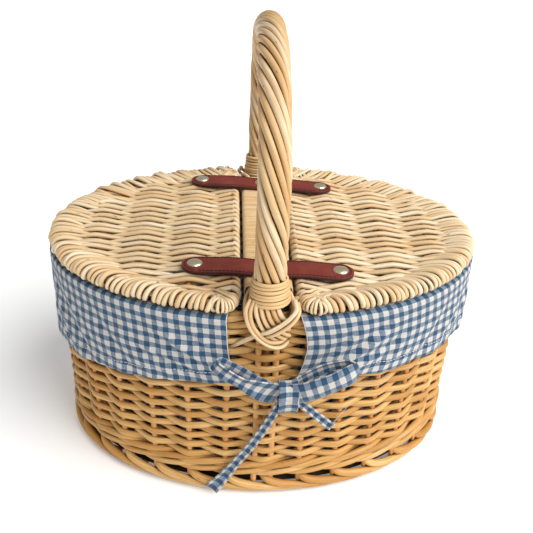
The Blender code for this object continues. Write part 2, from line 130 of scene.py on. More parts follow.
def peeled_willow(name, tones, streak, roughness):
    """Willow rods, boiled, peeled and dried: every rod has its own tone. The grain runs
    along the rod as fine streaks, with slow drifts of colour, a few brown bud scars, and
    painted shade where rods touch."""
    made, tree = new_material(name)
    grain = add_node(tree, "Attribute", {"attribute_name": "grain"}).outputs["Vector"]
    own = add_node(tree, "Attribute", {"attribute_name": "rod"}).outputs["Fac"]
    stops = [(i / (len(tones) - 1), tone) for i, tone in enumerate(tones)]
    colour = add_node(tree, "ValToRGB", {"stops": stops}, {"Fac": own})

    # Over the rod's tone: (scale, detail, where the noise starts and ends, most of the tint, tint).
    layers = (
        # Grain lines on real willow are 0.3 mm apart: drawn at 1 mm, so that they show.
        ((45, 900, 900), 4.0, 0.35, 0.72, 0.75, streak),
        # The colour drifts over 40 to 60 mm of a rod.
        ((22, 120, 120), 2.0, 0.42, 0.75, 0.7, tones[0]),
        # Bud scars: brown spots 3 mm long, one every few hundred millimetres of rod.
        ((150, 420, 420), 0.0, 0.80, 0.85, 0.6, "#6b4321"),
    )
    noises = []
    for scale, detail, low, high, most, tint in layers:
        noises.append(noise_on(tree, grain, scale, detail))
        colour = tinted(tree, ranged(tree, noises[-1], low, high, 0.0, most), colour, tint)
    lines = noises[0]

    # Painted shade: the colour darkens to dark brown where rods touch, within 5 mm, where shade falls
    # between them.
    crevice = add_node(tree, "AmbientOcclusion", {"samples": 6, "Distance": 0.005})
    painted_shade_share = ranged(tree, crevice.outputs["AO"], 0.15, 0.72, 0.9, 0.0)
    painted_shade_colour = tinted(tree, painted_shade_share, colour, "#4a2c12")

    dull = ranged(tree, lines, to_low=roughness - 0.09, to_high=roughness + 0.12)
    bump = add_node(tree, "Bump", {"Strength": 0.35, "Distance": 0.0003}, {"Height": lines})
    finish(tree, {"IOR": 1.5, "Specular IOR Level": 0.4},
           {"Base Color": painted_shade_colour, "Roughness": dull, "Normal": bump})
    return made


def smooth(points, count):
    """A smooth curve through given points, read at count even steps."""
    points = np.asarray(points, float)
    padded = np.vstack([2 * points[0] - points[1], points, 2 * points[-1] - points[-2]])
    steps = np.linspace(0, len(points) - 1, count)
    first = np.minimum(steps.astype(int), len(points) - 2)
    t = (steps - first)[:, None]
    a, b, c, d = (padded[first + i] for i in range(4))
    return 0.5 * (2 * b + (c - a) * t + (2 * a - 5 * b + 4 * c - d) * t ** 2
                  + (3 * b - a - 3 * c + d) * t ** 3)


def wander(count, size, every=9):
    """A slow random series, as a hand-grown rod has in its thickness and its line."""
    knots = max(3, count // every + 2)
    return np.interp(np.linspace(0, knots - 1, count), range(knots), rng.normal(0, size, knots))


SHARPNESS = 0.96


def bent(wave):
    """A wave as a stiff rod takes it: straight runs with a short bend at each turn."""
    return np.arcsin(SHARPNESS * wave) / math.asin(SHARPNESS)


def rod(path, radius, up=(0, 0, 1), flat=1.0, closed=False, tone=None):
    """One rod: its middle line, its radius along it, and which way its thin side faces."""
    path = np.asarray(path, float)
    count = len(path)
    radius = np.broadcast_to(np.asarray(radius, float), count)
    up = np.broadcast_to(np.asarray(up, float), (count, 3))
    if closed:
        ahead = np.roll(path, -1, axis=0) - np.roll(path, 1, axis=0)
    else:
        ahead = np.gradient(path, axis=0)
    ahead /= np.linalg.norm(ahead, axis=1)[:, None]
    if not closed:
        # Two smaller rings round off each cut end.
        reach = np.array([0.75, 0.5])[:, None]
        path = np.vstack([path[0] - reach * radius[0] * ahead[0], path,
                          path[-1] + reach[::-1] * radius[-1] * ahead[-1]])
        ahead = np.vstack([ahead[:1], ahead[:1], ahead, ahead[-1:], ahead[-1:]])
        up = np.vstack([up[:1], up[:1], up, up[-1:], up[-1:]])
        radius = np.concatenate([radius[0] * np.array([0.35, 0.8]), radius,
                                 radius[-1] * np.array([0.8, 0.35])])
    side = np.cross(ahead, up)
    side /= np.linalg.norm(side, axis=1)[:, None]
    return {"path": path, "side": side, "up": np.cross(side, ahead), "radius": radius,
            "flat": flat, "closed": closed, "tone": rng.random() if tone is None else tone}


def lay_rods(name, rods, wood, sides=8):
    """One mesh of many rods, with each rod's tone and the line of its grain."""
    turn = np.arange(sides) * math.tau / sides
    points, tones, grains, faces = [], [], [], []
    first = 0
    for each in rods:
        across = each["radius"][:, None, None] * np.cos(turn)[None, :, None]
        proud = each["radius"][:, None, None] * each["flat"] * np.sin(turn)[None, :, None]
        ring = each["path"][:, None] + across * each["side"][:, None] + proud * each["up"][:, None]
        rings = len(ring)
        gaps = np.linalg.norm(np.diff(each["path"], axis=0), axis=1)
        along = np.concatenate([[0], np.cumsum(gaps)]) + 40 * each["tone"]
        grain = np.concatenate([np.broadcast_to(along[:, None, None], across.shape), across, proud],
                               axis=2)
        index = first + np.arange(rings * sides).reshape(rings, sides)
        near = index if each["closed"] else index[:-1]
        far = np.roll(index, -1, axis=0) if each["closed"] else index[1:]
        quads = np.stack([near, far, np.roll(far, -1, axis=1), np.roll(near, -1, axis=1)], axis=2)
        faces += quads.reshape(-1, 4).tolist()
        if not each["closed"]:
            faces += [index[0].tolist(), index[-1][::-1].tolist()]
        points.append(ring.reshape(-1, 3))
        grains.append(grain.reshape(-1, 3))
        tones.append(np.full(rings * sides, each["tone"]))
        first += rings * sides
    mesh = bpy.data.meshes.new(name)
    mesh.from_pydata(np.concatenate(points).tolist(), [], faces)
    mesh.shade_smooth()
    mesh.attributes.new("rod", "FLOAT", "POINT").data.foreach_set("value", np.concatenate(tones))
    mesh.attributes.new("grain", "FLOAT_VECTOR", "POINT").data.foreach_set(
        "vector", np.concatenate(grains).ravel())
    piece = bpy.data.objects.new(name, mesh)
    bpy.context.scene.collection.objects.link(piece)
    mesh.materials.append(wood)
    return piece


def belongs(piece, body, slot_name, *nodes):
    """The piece moves with this body and stands for these nodes. The slot name is not used."""
    if nodes:
        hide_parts(*nodes)
    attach(piece, body)
    return piece


base_wood = peeled_willow("peeled_willow_base", ["#9a7038", "#b98a4a", "#c99c5c"], "#7d5526", 0.62)
base_low, base_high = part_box("base_panel")
BASE_ROD = 0.0022
BASE_STICK = 0.0016
BASE_ROWS = 25
FIRST_ROW = 0.6
BASE_WAVE = 0.0016
SPOKES = 30
SPOKE_STEPS = 8
SPOKE_REACH = 0.985
SLATH_ROUND = 0.97
slath_half = base_high.x - base_high.y * SLATH_ROUND
base_middle = (base_low.z + base_high.z) / 2
base_rods = []
turn = np.arange(SPOKES * SPOKE_STEPS) * math.tau / (SPOKES * SPOKE_STEPS)
for row in range(BASE_ROWS):
    share = (row + FIRST_ROW) / BASE_ROWS
    half_x = slath_half + (base_high.x - slath_half - BASE_ROD) * share
    half_y = (base_high.y - BASE_ROD) * share
    lift = BASE_WAVE * np.cos(SPOKES / 2 * turn + math.pi * row)
    base_rods.append(rod(np.stack([half_x * np.sin(turn), -half_y * np.cos(turn),
                                   base_middle + lift], axis=1), BASE_ROD, closed=True))
for spoke in range(SPOKES):
    way = math.tau * spoke / SPOKES
    inner = (slath_half * math.sin(way), 0.0, base_middle)
    outer = (base_high.x * math.sin(way) * SPOKE_REACH, -base_high.y * math.cos(way) * SPOKE_REACH,
             base_middle)
    base_rods.append(rod(np.linspace(inner, outer, 12), BASE_STICK))
belongs(lay_rods("base_mat", base_rods, base_wood, 6), "basket", "wall_willow", "base_panel",
        "base_stick_front", "base_stick_middle", "base_stick_back")


# Stakes: upright rods on thirty even places round the oval. At the front and back middle,
# where the handle's own foot goes down, a pair of rods stands for it. They show bare where
# the weavers pass behind.

wall_low, wall_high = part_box("foot_border")[1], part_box("wall_weave")[1]
STAKES = 30
STAKE_RADIUS = 0.0028
STAKE_FLAT = 0.8
STAKE_OUT = -0.0046
BESIDE_HANDLE = 0.0078
ANGLES = np.linspace(0, math.tau, 721)
edges = np.hypot(np.diff(wall_high.x * np.sin(ANGLES)), np.diff(wall_high.y * np.cos(ANGLES)))
SHARES = np.concatenate([[0], np.cumsum(edges)]) / edges.sum()
WALL_ROUND = edges.sum()


def wall_half(z):
    """The wall's outer half width and half depth at a height."""
    grow = (np.asarray(z, float) - wall_low.z) / (wall_high.z - wall_low.z)
    return (wall_low.x + grow * (wall_high.x - wall_low.x),
            wall_low.y + grow * (wall_high.y - wall_low.y))


def on_wall(s, z, out):
    """Points s of the way round from the front middle towards +X, and out from the wall."""
    s, z, out = np.broadcast_arrays(np.asarray(s, float), z, out)
    half_x, half_y = wall_half(z)
    way = np.interp(np.mod(s, 1.0), SHARES, ANGLES)
    return np.stack([(half_x + out) * np.sin(way), -(half_y + out) * np.cos(way), z], axis=-1)


def wall_facing(s):
    way = np.interp(np.mod(s, 1.0), SHARES, ANGLES)
    facing = np.stack([np.sin(way) / wall_high.x, -np.cos(way) / wall_high.y, 0 * way], axis=-1)
    return facing / np.linalg.norm(facing, axis=-1)[..., None]


stake_wood = peeled_willow("peeled_willow_stakes", ["#cf8d4a", "#dc9c58", "#e8b072"], "#a86c34", 0.5)
stake_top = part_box("upper_wale")[1].z
stake_rods = []
for k in range(STAKES):
    foot = k in (0, STAKES // 2)
    for sideways in ((-BESIDE_HANDLE, BESIDE_HANDLE) if foot else (0.0,)):
        s = k / STAKES + sideways / WALL_ROUND
        heights = np.linspace(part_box("wall_stakes")[0].z, stake_top, 40)
        sway = wander(40, 0.0004) / WALL_ROUND
        path = on_wall(s + sway, heights, STAKE_OUT)
        thick = STAKE_RADIUS * (1 + wander(40, 0.03))
        stake_rods.append(rod(path, thick, wall_facing(s), flat=STAKE_FLAT))
belongs(lay_rods("stakes", stake_rods, stake_wood), "basket", "wall_willow", "wall_stakes")


# Foot border: each stake's thick end is bent down under the lower wale and sweeps round
# past two others to finish under the basket. The bends stand proud with dark gaps over them.

wall_wood = peeled_willow("peeled_willow_wall",
                          ["#c08a44", "#d3a05a", "#e2b56e", "#edc788"], "#a87236", 0.5)
FOOT_ROD = 0.0038
# Each point: (stakes further round, height, out from the wall).
FOOT_SWEEP = ((-0.06, 0.0240, -0.0130), (0.0, 0.0215, -0.0085), (0.08, 0.0186, -0.0045),
              (0.22, 0.0156, -0.0022), (0.5, 0.0127, -0.0012), (1.0, 0.0094, -0.0012),
              (1.5, 0.0068, -0.0024), (2.0, 0.0052, -0.0048), (2.5, 0.0048, -0.0090))
foot_rods = []
for k in range(STAKES):
    stations = smooth(FOOT_SWEEP, 60)
    s = (k + stations[:, 0]) / STAKES
    path = on_wall(s, stations[:, 1] + wander(60, 0.0002), stations[:, 2])
    foot_rods.append(rod(path, FOOT_ROD * (1 + wander(60, 0.03)), wall_facing(s)))
belongs(lay_rods("foot_rods", foot_rods, wall_wood, 10), "basket", "wall_willow", "foot_border")

# Five willow hoops behind the bends close the foot. They are coloured near black as
# painted shade, so that only dark shows through the gaps.
shade_hoop_wood = peeled_willow("painted_shade_hoops", ["#3a2412", "#4a2f18"], "#24160b", 0.7)
HOOP_ROD = 0.0024
hoops = []
s = np.linspace(0, 1, 181)[:-1]
for hoop in range(5):
    path = on_wall(s, 0.0060 + 0.0040 * hoop, -0.0150 + 0.0002 * hoop)
    hoops.append(rod(path, HOOP_ROD, wall_facing(s), closed=True, tone=0.0))
belongs(lay_rods("foot_hoops", hoops, shade_hoop_wood), "basket", "wall_willow", "foot_border")


# Wales: bands of three rods woven together like a rope. Each passes outside two stakes and
# inside one, and climbs a little as it goes. They lock the stakes in place.

WALE_RODS = 3
WALE_STEPS = 9


def wale(z, radius, climb, middle, swing):
    """One row of rods, each behind a stake once in every three stakes."""
    found = []
    s = np.arange(STAKES * WALE_STEPS) / (STAKES * WALE_STEPS)
    for m in range(WALE_RODS):
        beat = (STAKES * s + m) / WALE_RODS
        wave = -np.cos(math.tau * beat)
        out = middle + swing * (wave + 0.35 * (1 - wave ** 2))
        height = z - climb * np.sin(math.tau * beat) + wander(len(s), 0.0003)
        thick = radius * (1 + wander(len(s), 0.04))
        found.append(rod(on_wall(s, height, out), thick, wall_facing(s), closed=True))
    return found


lower_rods = []
for z in (0.0280, 0.0362):
    lower_rods += wale(z, radius=0.0033, climb=0.0027, middle=-0.0066, swing=0.0044)
belongs(lay_rods("lower_wale_rods", lower_rods, wall_wood), "basket", "wall_willow", "lower_wale")


# Wall: single weavers, each row in front of one stake and behind the next, opposite to the
# row below. Each row is three rods whose ends meet at a stake. The last rows, above the
# main weave, are thinner and end under the rim.

WEAVER_FLAT = 0.64
WEAVE_MIDDLE = -0.0066
WEAVE_SWING = 0.0048
PER_STAKE = 10


def woven_rows(node, count, radius):
    """Rows of weavers that fill the height of this node."""
    low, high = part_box(node)[0].z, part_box(node)[1].z
    found = []
    for row in range(count):
        middle_z = low + (high - low) * (row + 0.5) / count
        starts = np.sort(rng.choice(np.arange((row + 1) % 2, STAKES, 2), 3, replace=False))
        drift = wander(STAKES * PER_STAKE + 1, 0.0004, 30)
        for start, end in zip(starts, [*starts[1:], starts[0] + STAKES]):
            stations = np.linspace(start, end, (end - start) * PER_STAKE + 1)
            steps = len(stations)
            out = WEAVE_MIDDLE + WEAVE_SWING * bent(np.cos(math.pi * (stations + row)))
            z = middle_z + drift[(stations % STAKES * PER_STAKE).astype(int)]
            z += wander(steps, 0.00025)
            thick = radius * (1 + wander(steps, 0.05)) * (1 + rng.normal(0, 0.03))
            found.append(rod(on_wall(stations / STAKES, z, out), thick,
                             wall_facing(stations / STAKES), flat=WEAVER_FLAT))
    return found


for name, node, count, radius in (("wall_weavers", "wall_weave", 22, 0.0034),
                                  ("upper_weavers", "upper_wale", 4, 0.0030)):
    weavers = lay_rods(name, woven_rows(node, count, radius), wall_wood)
    belongs(weavers, "basket", "wall_willow", node)


# Rim border: the tops of the stakes, laid down in turn behind and in front of each other,
# so that they make one roll that the liner turns over and the lids rest on.

rim_low, rim_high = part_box("rim_border")
rim_middle = (rim_low.z + rim_high.z) / 2
rim_rods = wale(rim_middle - 0.0010, radius=0.0031, climb=0.0034, middle=-0.0072, swing=0.0042)
rim_rods += wale(rim_middle + 0.0028, radius=0.0029, climb=0.0010, middle=-0.0104, swing=0.0030)
belongs(lay_rods("rim_rods", rim_rods, wall_wood), "basket", "wall_willow", "rim_border")


# Handle: a stout core rod, bent to an arch and pushed down beside the stakes, with ten
# paler rods twisted round it like a rope from one collar over to the other.

handle_wood = peeled_willow("peeled_willow_handle",
                            ["#cfa068", "#e6c390", "#f0d6aa", "#f7e6c6"], "#c79a62", 0.42)
core_wood = peeled_willow("peeled_willow_core", ["#d69a5c", "#e0aa6c"], "#b0753c", 0.5)
rope_low, rope_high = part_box("handle_rope")
ROPE_RODS = 10
ROPE_ROD = 0.00292
ROPE_HEART = 0.0078
ROPE_TUCK = 0.006
TWIST = 0.170
rope_radius = rope_high.x
half_span = rope_high.y - rope_radius
spring_z = 0.300
arch_height = rope_high.z - rope_radius - spring_z


def arch_points(count, low):
    """The handle's middle line from the front collar over to the back one, with the way out."""
    rise = [(-half_span, z) for z in np.linspace(low, spring_z, 24)[:-1]]
    over = [(-half_span * math.cos(t), spring_z + arch_height * math.sin(t))
            for t in np.linspace(0, math.pi, 140)]
    line = np.array(rise + over + [(-y, z) for y, z in rise[::-1]])
    gaps = np.concatenate([[0], np.cumsum(np.hypot(*np.diff(line, axis=0).T))])
    even = np.linspace(0, gaps[-1], count)
    y, z = np.interp(even, gaps, line[:, 0]), np.interp(even, gaps, line[:, 1])
    ahead = np.gradient(np.stack([0 * y, y, z], axis=1), axis=0)
    ahead /= np.linalg.norm(ahead, axis=1)[:, None]
    outward = np.cross((1, 0, 0), ahead)
    return np.stack([0 * y, y, z], axis=1), outward, even


line, outward, travelled = arch_points(220, rope_low.z - ROPE_TUCK)
across_arch = np.array([1.0, 0.0, 0.0])
rope_rods = [rod(line, ROPE_HEART, across_arch, tone=0.1)]
for m in range(ROPE_RODS):
    turned = (math.tau * (m + rng.normal(0, 0.06)) / ROPE_RODS - math.tau * travelled / TWIST
              + wander(len(line), 0.035, 30))
    ring = rope_radius - ROPE_ROD + wander(len(line), 0.00025, 20)
    away = np.cos(turned)[:, None] * outward + np.sin(turned)[:, None] * across_arch
    thick = ROPE_ROD * (1 + wander(len(line), 0.05, 20)) * (1 + rng.normal(0, 0.05))
    rope_rods.append(rod(line + ring[:, None] * away, thick, away))
belongs(lay_rods("handle_rope_rods", rope_rods, handle_wood, 10), "basket", "handle_willow",
        "handle_rope")
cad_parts["handle_core"].data.materials.clear()
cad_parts["handle_core"].data.materials.append(core_wood)


# Collars and lashings: flat split cane is wound round the foot of the rope, then whole
# rods from under it fan down over the rim and cross in a V that ties the handle on.

cane = peeled_willow("split_cane_binding", ["#e3bd86", "#edcb98", "#f4daae"], "#cda068", 0.42)
COLLAR_TURNS = 7
COLLAR_STEPS = 30
COLLAR_RADIUS = 0.0160
COLLAR_TAPER = 0.0024
COLLAR_CANE = 0.0017
for place in ("front", "back"):
    low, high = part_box(f"handle_collar_{place}")
    count = COLLAR_TURNS * COLLAR_STEPS
    share = np.linspace(0, 1, count)
    angle = math.tau * COLLAR_TURNS * share + math.pi
    middle_y = (low.y + high.y) / 2
    radius = COLLAR_RADIUS - COLLAR_TAPER * share + wander(count, 0.0003)
    height = low.z - 0.0005 + (high.z - low.z) * share
    away = np.stack([np.sin(angle), -np.cos(angle), 0 * angle], axis=1)
    path = np.stack([radius * np.sin(angle), middle_y - radius * np.cos(angle), height], axis=1)
    path[:, 2] += 0.0010 * np.cos(angle) + wander(count, 0.0003)
    wound = [rod(path, COLLAR_CANE, away, flat=0.9)]
    belongs(lay_rods(f"collar_{place}", wound, cane), "basket", "binding_cane",
            f"handle_collar_{place}")

# Each lashing rod: points (x, z, out from the wall), from under the collar.
LASHING_ROD = 0.0019
LASHING = (
    ((-0.0160, 0.2205, -0.0010), (-0.0190, 0.2140, 0.0044), (-0.0176, 0.2050, 0.0056),
     (-0.0140, 0.1962, 0.0064), (-0.0078, 0.1875, 0.0070), (-0.0004, 0.1817, 0.0072),
     (0.0060, 0.1790, 0.0062), (0.0116, 0.1782, 0.0032), (0.0160, 0.1786, -0.0024)),
    ((-0.0128, 0.2205, 0.0000), (-0.0154, 0.2126, 0.0050), (-0.0134, 0.2010, 0.0060),
     (-0.0080, 0.1926, 0.0068), (-0.0006, 0.1856, 0.0070), (0.0062, 0.1836, 0.0054),
     (0.0112, 0.1832, 0.0024), (0.0152, 0.1838, -0.0026)),
    ((-0.0100, 0.2205, 0.0010), (-0.0110, 0.2140, 0.0052), (-0.0078, 0.2020, 0.0054),
     (-0.0030, 0.1930, 0.0050), (0.0034, 0.1866, 0.0040), (0.0094, 0.1828, 0.0024)),
    ((-0.0070, 0.2205, 0.0020), (-0.0066, 0.2140, 0.0056), (-0.0032, 0.2030, 0.0056),
     (0.0020, 0.1950, 0.0050), (0.0078, 0.1890, 0.0040), (0.0128, 0.1850, 0.0022)),
    ((-0.0034, 0.2205, 0.0026), (-0.0020, 0.2140, 0.0056), (0.0014, 0.2046, 0.0056),
     (0.0066, 0.1972, 0.0048), (0.0122, 0.1912, 0.0034), (0.0166, 0.1876, 0.0010)),
    ((0.0006, 0.2205, 0.0026), (0.0026, 0.2140, 0.0056), (0.0062, 0.2056, 0.0054),
     (0.0110, 0.1990, 0.0044), (0.0160, 0.1940, 0.0020)),
    ((0.0046, 0.2205, 0.0020), (0.0070, 0.2140, 0.0052), (0.0104, 0.2070, 0.0048),
     (0.0150, 0.2010, 0.0030)),
    ((0.0205, 0.2190, -0.0030), (0.0204, 0.2150, 0.0050), (0.0150, 0.2094, 0.0090),
     (0.0072, 0.2024, 0.0098), (-0.0010, 0.1964, 0.0092), (-0.0078, 0.1916, 0.0052),
     (-0.0160, 0.1852, 0.0024), (-0.0252, 0.1770, -0.0010), (-0.0330, 0.1700, -0.0050)),
    ((0.0230, 0.2160, -0.0030), (0.0226, 0.2116, 0.0044), (0.0176, 0.2052, 0.0084),
     (0.0100, 0.1982, 0.0092), (0.0018, 0.1926, 0.0082), (-0.0050, 0.1880, 0.0030)),
)


def wall_share(x, z):
    """How far round the wall a point x to the right of the front middle lies."""
    half_x, _ = wall_half(z)
    return np.interp(np.arcsin(x / half_x) % math.tau, ANGLES, SHARES)


for place, half_turn in (("front", 0.0), ("back", 0.5)):
    tied = []
    for points in LASHING:
        x, z, out = smooth(points, 40).T
        s = wall_share(x, z) + half_turn
        thick = LASHING_ROD * (1 + wander(40, 0.04))
        tied.append(rod(on_wall(s, z, out), thick, wall_facing(s)))
    belongs(lay_rods(f"lashing_{place}", tied, handle_wood, 10), "basket", "handle_willow",
            f"handle_lashing_{place}")


# Centre bar: a flat bar across the opening that both lids hang from, wound edge to edge
# with split cane over its whole length.

bar_low, bar_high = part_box("centre_bar_wrap")
CANE_WIDTH = 0.0032
CANE_HALF_THICK = 0.0007
CANE_SLANT = 0.0010
BAR_CORNER = 0.0036
box_x, box_z = bar_high.x - CANE_HALF_THICK, (bar_high.z - bar_low.z) / 2 - CANE_HALF_THICK
bar_middle = (bar_high.z + bar_low.z) / 2
around = []
for quarter, (sx, sz) in enumerate(((1, 1), (-1, 1), (-1, -1), (1, -1))):
    for t in np.linspace(quarter * math.pi / 2, (quarter + 1) * math.pi / 2, 6):
        around.append((sx * (box_x - BAR_CORNER) + BAR_CORNER * math.cos(t),
                       sz * (box_z - BAR_CORNER) + BAR_CORNER * math.sin(t), math.cos(t), math.sin(t)))
around = np.array(around)
turns = int((bar_high.y - bar_low.y) / CANE_WIDTH)
wraps = []
for i in range(turns):
    y = bar_low.y + CANE_WIDTH * (i + 0.5) + rng.normal(0, 0.00012)
    slant = CANE_SLANT * np.sin(np.linspace(0, math.tau, len(around), endpoint=False))
    path = np.stack([around[:, 0], y + slant, bar_middle + around[:, 1]], axis=1)
    facing = np.stack([around[:, 2], 0 * around[:, 2], around[:, 3]], axis=1)
    wraps.append(rod(path, CANE_WIDTH * 0.49, facing, flat=0.45, closed=True))
# At each end of the bar a few strands run on past the collar and tuck in below it.
BAR_STRANDS = 4
STRAND_DROP = 0.0036
STRAND_TUCK = 0.0012
BAR_END = ((0.0128, 0.1160, 0.2172), (0.0165, 0.1230, 0.2172), (0.0196, 0.1320, 0.2132),
           (0.0186, 0.1405, 0.2070), (0.0135, 0.1455, 0.2010), (0.0080, 0.1440, 0.1960))
for side in (-1, 1):
    for end in (-1, 1):
        for strand in range(BAR_STRANDS):
            path = smooth(BAR_END, 40) * (side, end, 1)
            path[:, 2] -= STRAND_DROP * strand * np.linspace(1.0, 0.75, 40)
            path[:, 1] -= end * STRAND_TUCK * strand
            thick = LASHING_ROD * (1 + wander(40, 0.04))
            wraps.append(rod(path, thick, (side, 0.3 * end, 0)))
belongs(lay_rods("centre_bar_cane", wraps, cane, 6), "basket", "binding_cane", "centre_bar_wrap",
        "centre_bar_core")


# Lids: a D of willow on each side of the bar. Weavers run across it, over and under three
# ribs, turn back round the hinge stick, and at the curved edge hook over the border rod.

lid_wood = peeled_willow("peeled_willow_lid",
                         ["#e0ba88", "#efd8ae", "#f6e4c2", "#faebcd"], "#d2ab78", 0.45)
LID_ROD = 0.0027
LID_FLAT = 0.80
LID_SWING = 0.0040
LID_MIDDLE = 0.2121
LID_RIB = 0.0018
LID_ROWS = 50
LID_ROW_PITCH = 0.0050
LID_RIBS = (0.067, 0.112, 0.157)
LAST_RIB_TO_EDGE = 0.045
ROW_SPREAD = 0.07
STICK_X = 0.0297
BEND = 0.0050
BORDER_CORE = 0.0030
INSIDE_BORDER = 0.0045
CLAW = 0.0022
CLAW_PITCH = 0.0053
border_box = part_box("lid_border_right")
border_radius = (border_box[1].z - border_box[0].z) / 2
border_z = (border_box[1].z + border_box[0].z) / 2
border_half = (border_box[1].x - border_radius, border_box[1].y - border_radius)
CORNER_X, CORNER_Y, CORNER_ROUND = 0.0410, 0.1290, 0.0100
# On the corners by the hinge the claws are thinner and closer, and lean in from the rows.
CORNER_LONG = 0.024
CORNER_CLAW, CORNER_PITCH = 0.62, 0.40
CORNER_LEAN = (-0.62, 0.78)
LEAN_FROM, LEAN_REACH = 0.0056, 1.9

# A claw crosses the border: (outward, height from the border's middle, way to the hinge).
CLAW_LINE = ((-0.0098, -0.0020, 0.0180), (-0.0082, 0.0008, 0.0128), (-0.0056, 0.0029, 0.0078),
             (-0.0020, 0.0044, 0.0036), (0.0022, 0.0043, 0.0010), (0.0048, 0.0018, -0.0006),
             (0.0052, -0.0018, -0.0018), (0.0020, -0.0050, -0.0030), (-0.0040, -0.0052, -0.0040))


def row_line(y0, x):
    """A row leaves the hinge square to it and spreads a little towards the far end."""
    return y0 * (1 + ROW_SPREAD * ((x - STICK_X) / (border_half[0] - STICK_X)) ** 2)


def row_end(y0):
    """Where a row meets the inner side of the border."""
    x = np.linspace(STICK_X + 0.01, border_half[0] - 0.004, 400)
    inside = ((x / (border_half[0] - INSIDE_BORDER)) ** 2
              + (row_line(y0, x) / (border_half[1] - INSIDE_BORDER)) ** 2)
    return x[inside < 1][-1] if (inside < 1).any() else x[0]


def weave_height(x, row):
    beat = np.interp(x, (STICK_X, *LID_RIBS, LID_RIBS[-1] + LAST_RIB_TO_EDGE), range(5))
    return LID_MIDDLE + LID_SWING * bent(np.cos(math.pi * (beat + row)))


def lid_rows():
    found = []
    for pair in range(LID_ROWS // 2):
        out_y = (2 * pair - LID_ROWS / 2 + 0.5) * LID_ROW_PITCH
        back_y = out_y + LID_ROW_PITCH
        path = []
        for y0, row, order in ((out_y, 0, -1), (back_y, 1, 1)):
            x = np.linspace(STICK_X, row_end(y0), 46)[::order]
            y = row_line(y0, x) + wander(46, 0.0011)
            path.append(np.stack([x, y, weave_height(x, row) + wander(46, 0.00012)], axis=1))
        t = np.linspace(math.pi / 2, 3 * math.pi / 2, 12)[1:-1]
        bend = np.stack([STICK_X + BEND * np.cos(t), np.linspace(out_y, back_y, 12)[1:-1],
                         LID_MIDDLE + BEND * np.sin(t)], axis=1)
        path = np.vstack([path[0], bend, path[1]])
        thick = LID_ROD * (1 + wander(len(path), 0.05)) * (1 + rng.normal(0, 0.03))
        facing = np.gradient(path, axis=0)
        facing = np.stack([-facing[:, 2], 0 * facing[:, 2], facing[:, 0]], axis=1)
        found.append(rod(path, thick, facing, flat=LID_FLAT))
    return found


def border_line():
    """Points of the border's middle with the way along it, from front to back corner."""
    first = math.acos(CORNER_X / border_half[0])
    front = [(CORNER_X - CORNER_ROUND * math.cos(t), -CORNER_Y - CORNER_ROUND * math.sin(t))
             for t in np.linspace(0, math.pi / 2, 12)]
    edge = [(border_half[0] * math.cos(t), border_half[1] * math.sin(t))
            for t in np.linspace(-first, first, 240)[1:-1]]
    line = np.array([(front[0][0], front[0][1] + 0.003)] + front + edge
                    + [(x, -y) for x, y in front[::-1]] + [(front[0][0], -front[0][1] - 0.003)])
    gaps = np.concatenate([[0], np.cumsum(np.hypot(*np.diff(line, axis=0).T))])
    return line, gaps


def border_at(where, line, gaps):
    place = np.array([np.interp(where, gaps, line[:, i]) for i in range(2)])
    after = np.array([np.interp(where + 0.002, gaps, line[:, i]) for i in range(2)])
    before = np.array([np.interp(where - 0.002, gaps, line[:, i]) for i in range(2)])
    along = (after - before) / np.linalg.norm(after - before)
    return place, along


def lid_claws():
    line, gaps = border_line()
    found = []
    where = 0.0
    while where < gaps[-1]:
        place, along = border_at(where, line, gaps)
        outward = np.array([along[1], -along[0]])
        at_corner = min(where, gaps[-1] - where) < CORNER_LONG
        scale = CORNER_CLAW + rng.normal(0, 0.05) if at_corner else 1.0 + rng.normal(0, 0.07)
        stations = smooth(CLAW_LINE, 26)
        long = 1 + rng.normal(0, 0.24)
        if at_corner:
            lean = LEAN_REACH * long * np.array([1, np.sign(place[1])]) * CORNER_LEAN
            inner = np.clip(-stations[:, :1] / LEAN_FROM, 0, 1)
            plan = place + stations[:, :1] * ((1 - inner) * outward + inner * lean)
        else:
            plan = (place + stations[:, :1] * outward + stations[:, 2:] * long * np.array([-1.0, 0.0]))
        proud = rng.normal(0, 0.0009) * np.cos(np.linspace(-1.5, 1.5, 26))
        path = np.column_stack([plan, border_z + stations[:, 1] + proud])
        found.append(rod(path, CLAW * scale, (*along, 0)))
        where += CLAW_PITCH * (CORNER_PITCH if at_corner else 1.0) * (1 + rng.normal(0, 0.12))
    core = np.column_stack([line, np.full(len(line), border_z)])
    found.append(rod(core, BORDER_CORE, tone=0.0))
    return found


def other_side(rods, side):
    """Rods as they lie on one lid: the left one is the right one turned half round."""
    turned = []
    for each in rods:
        flip = np.array([side, side, 1.0])
        turned.append({**each, "path": each["path"] * flip, "side": each["side"] * flip,
                       "up": each["up"] * flip})
    return turned


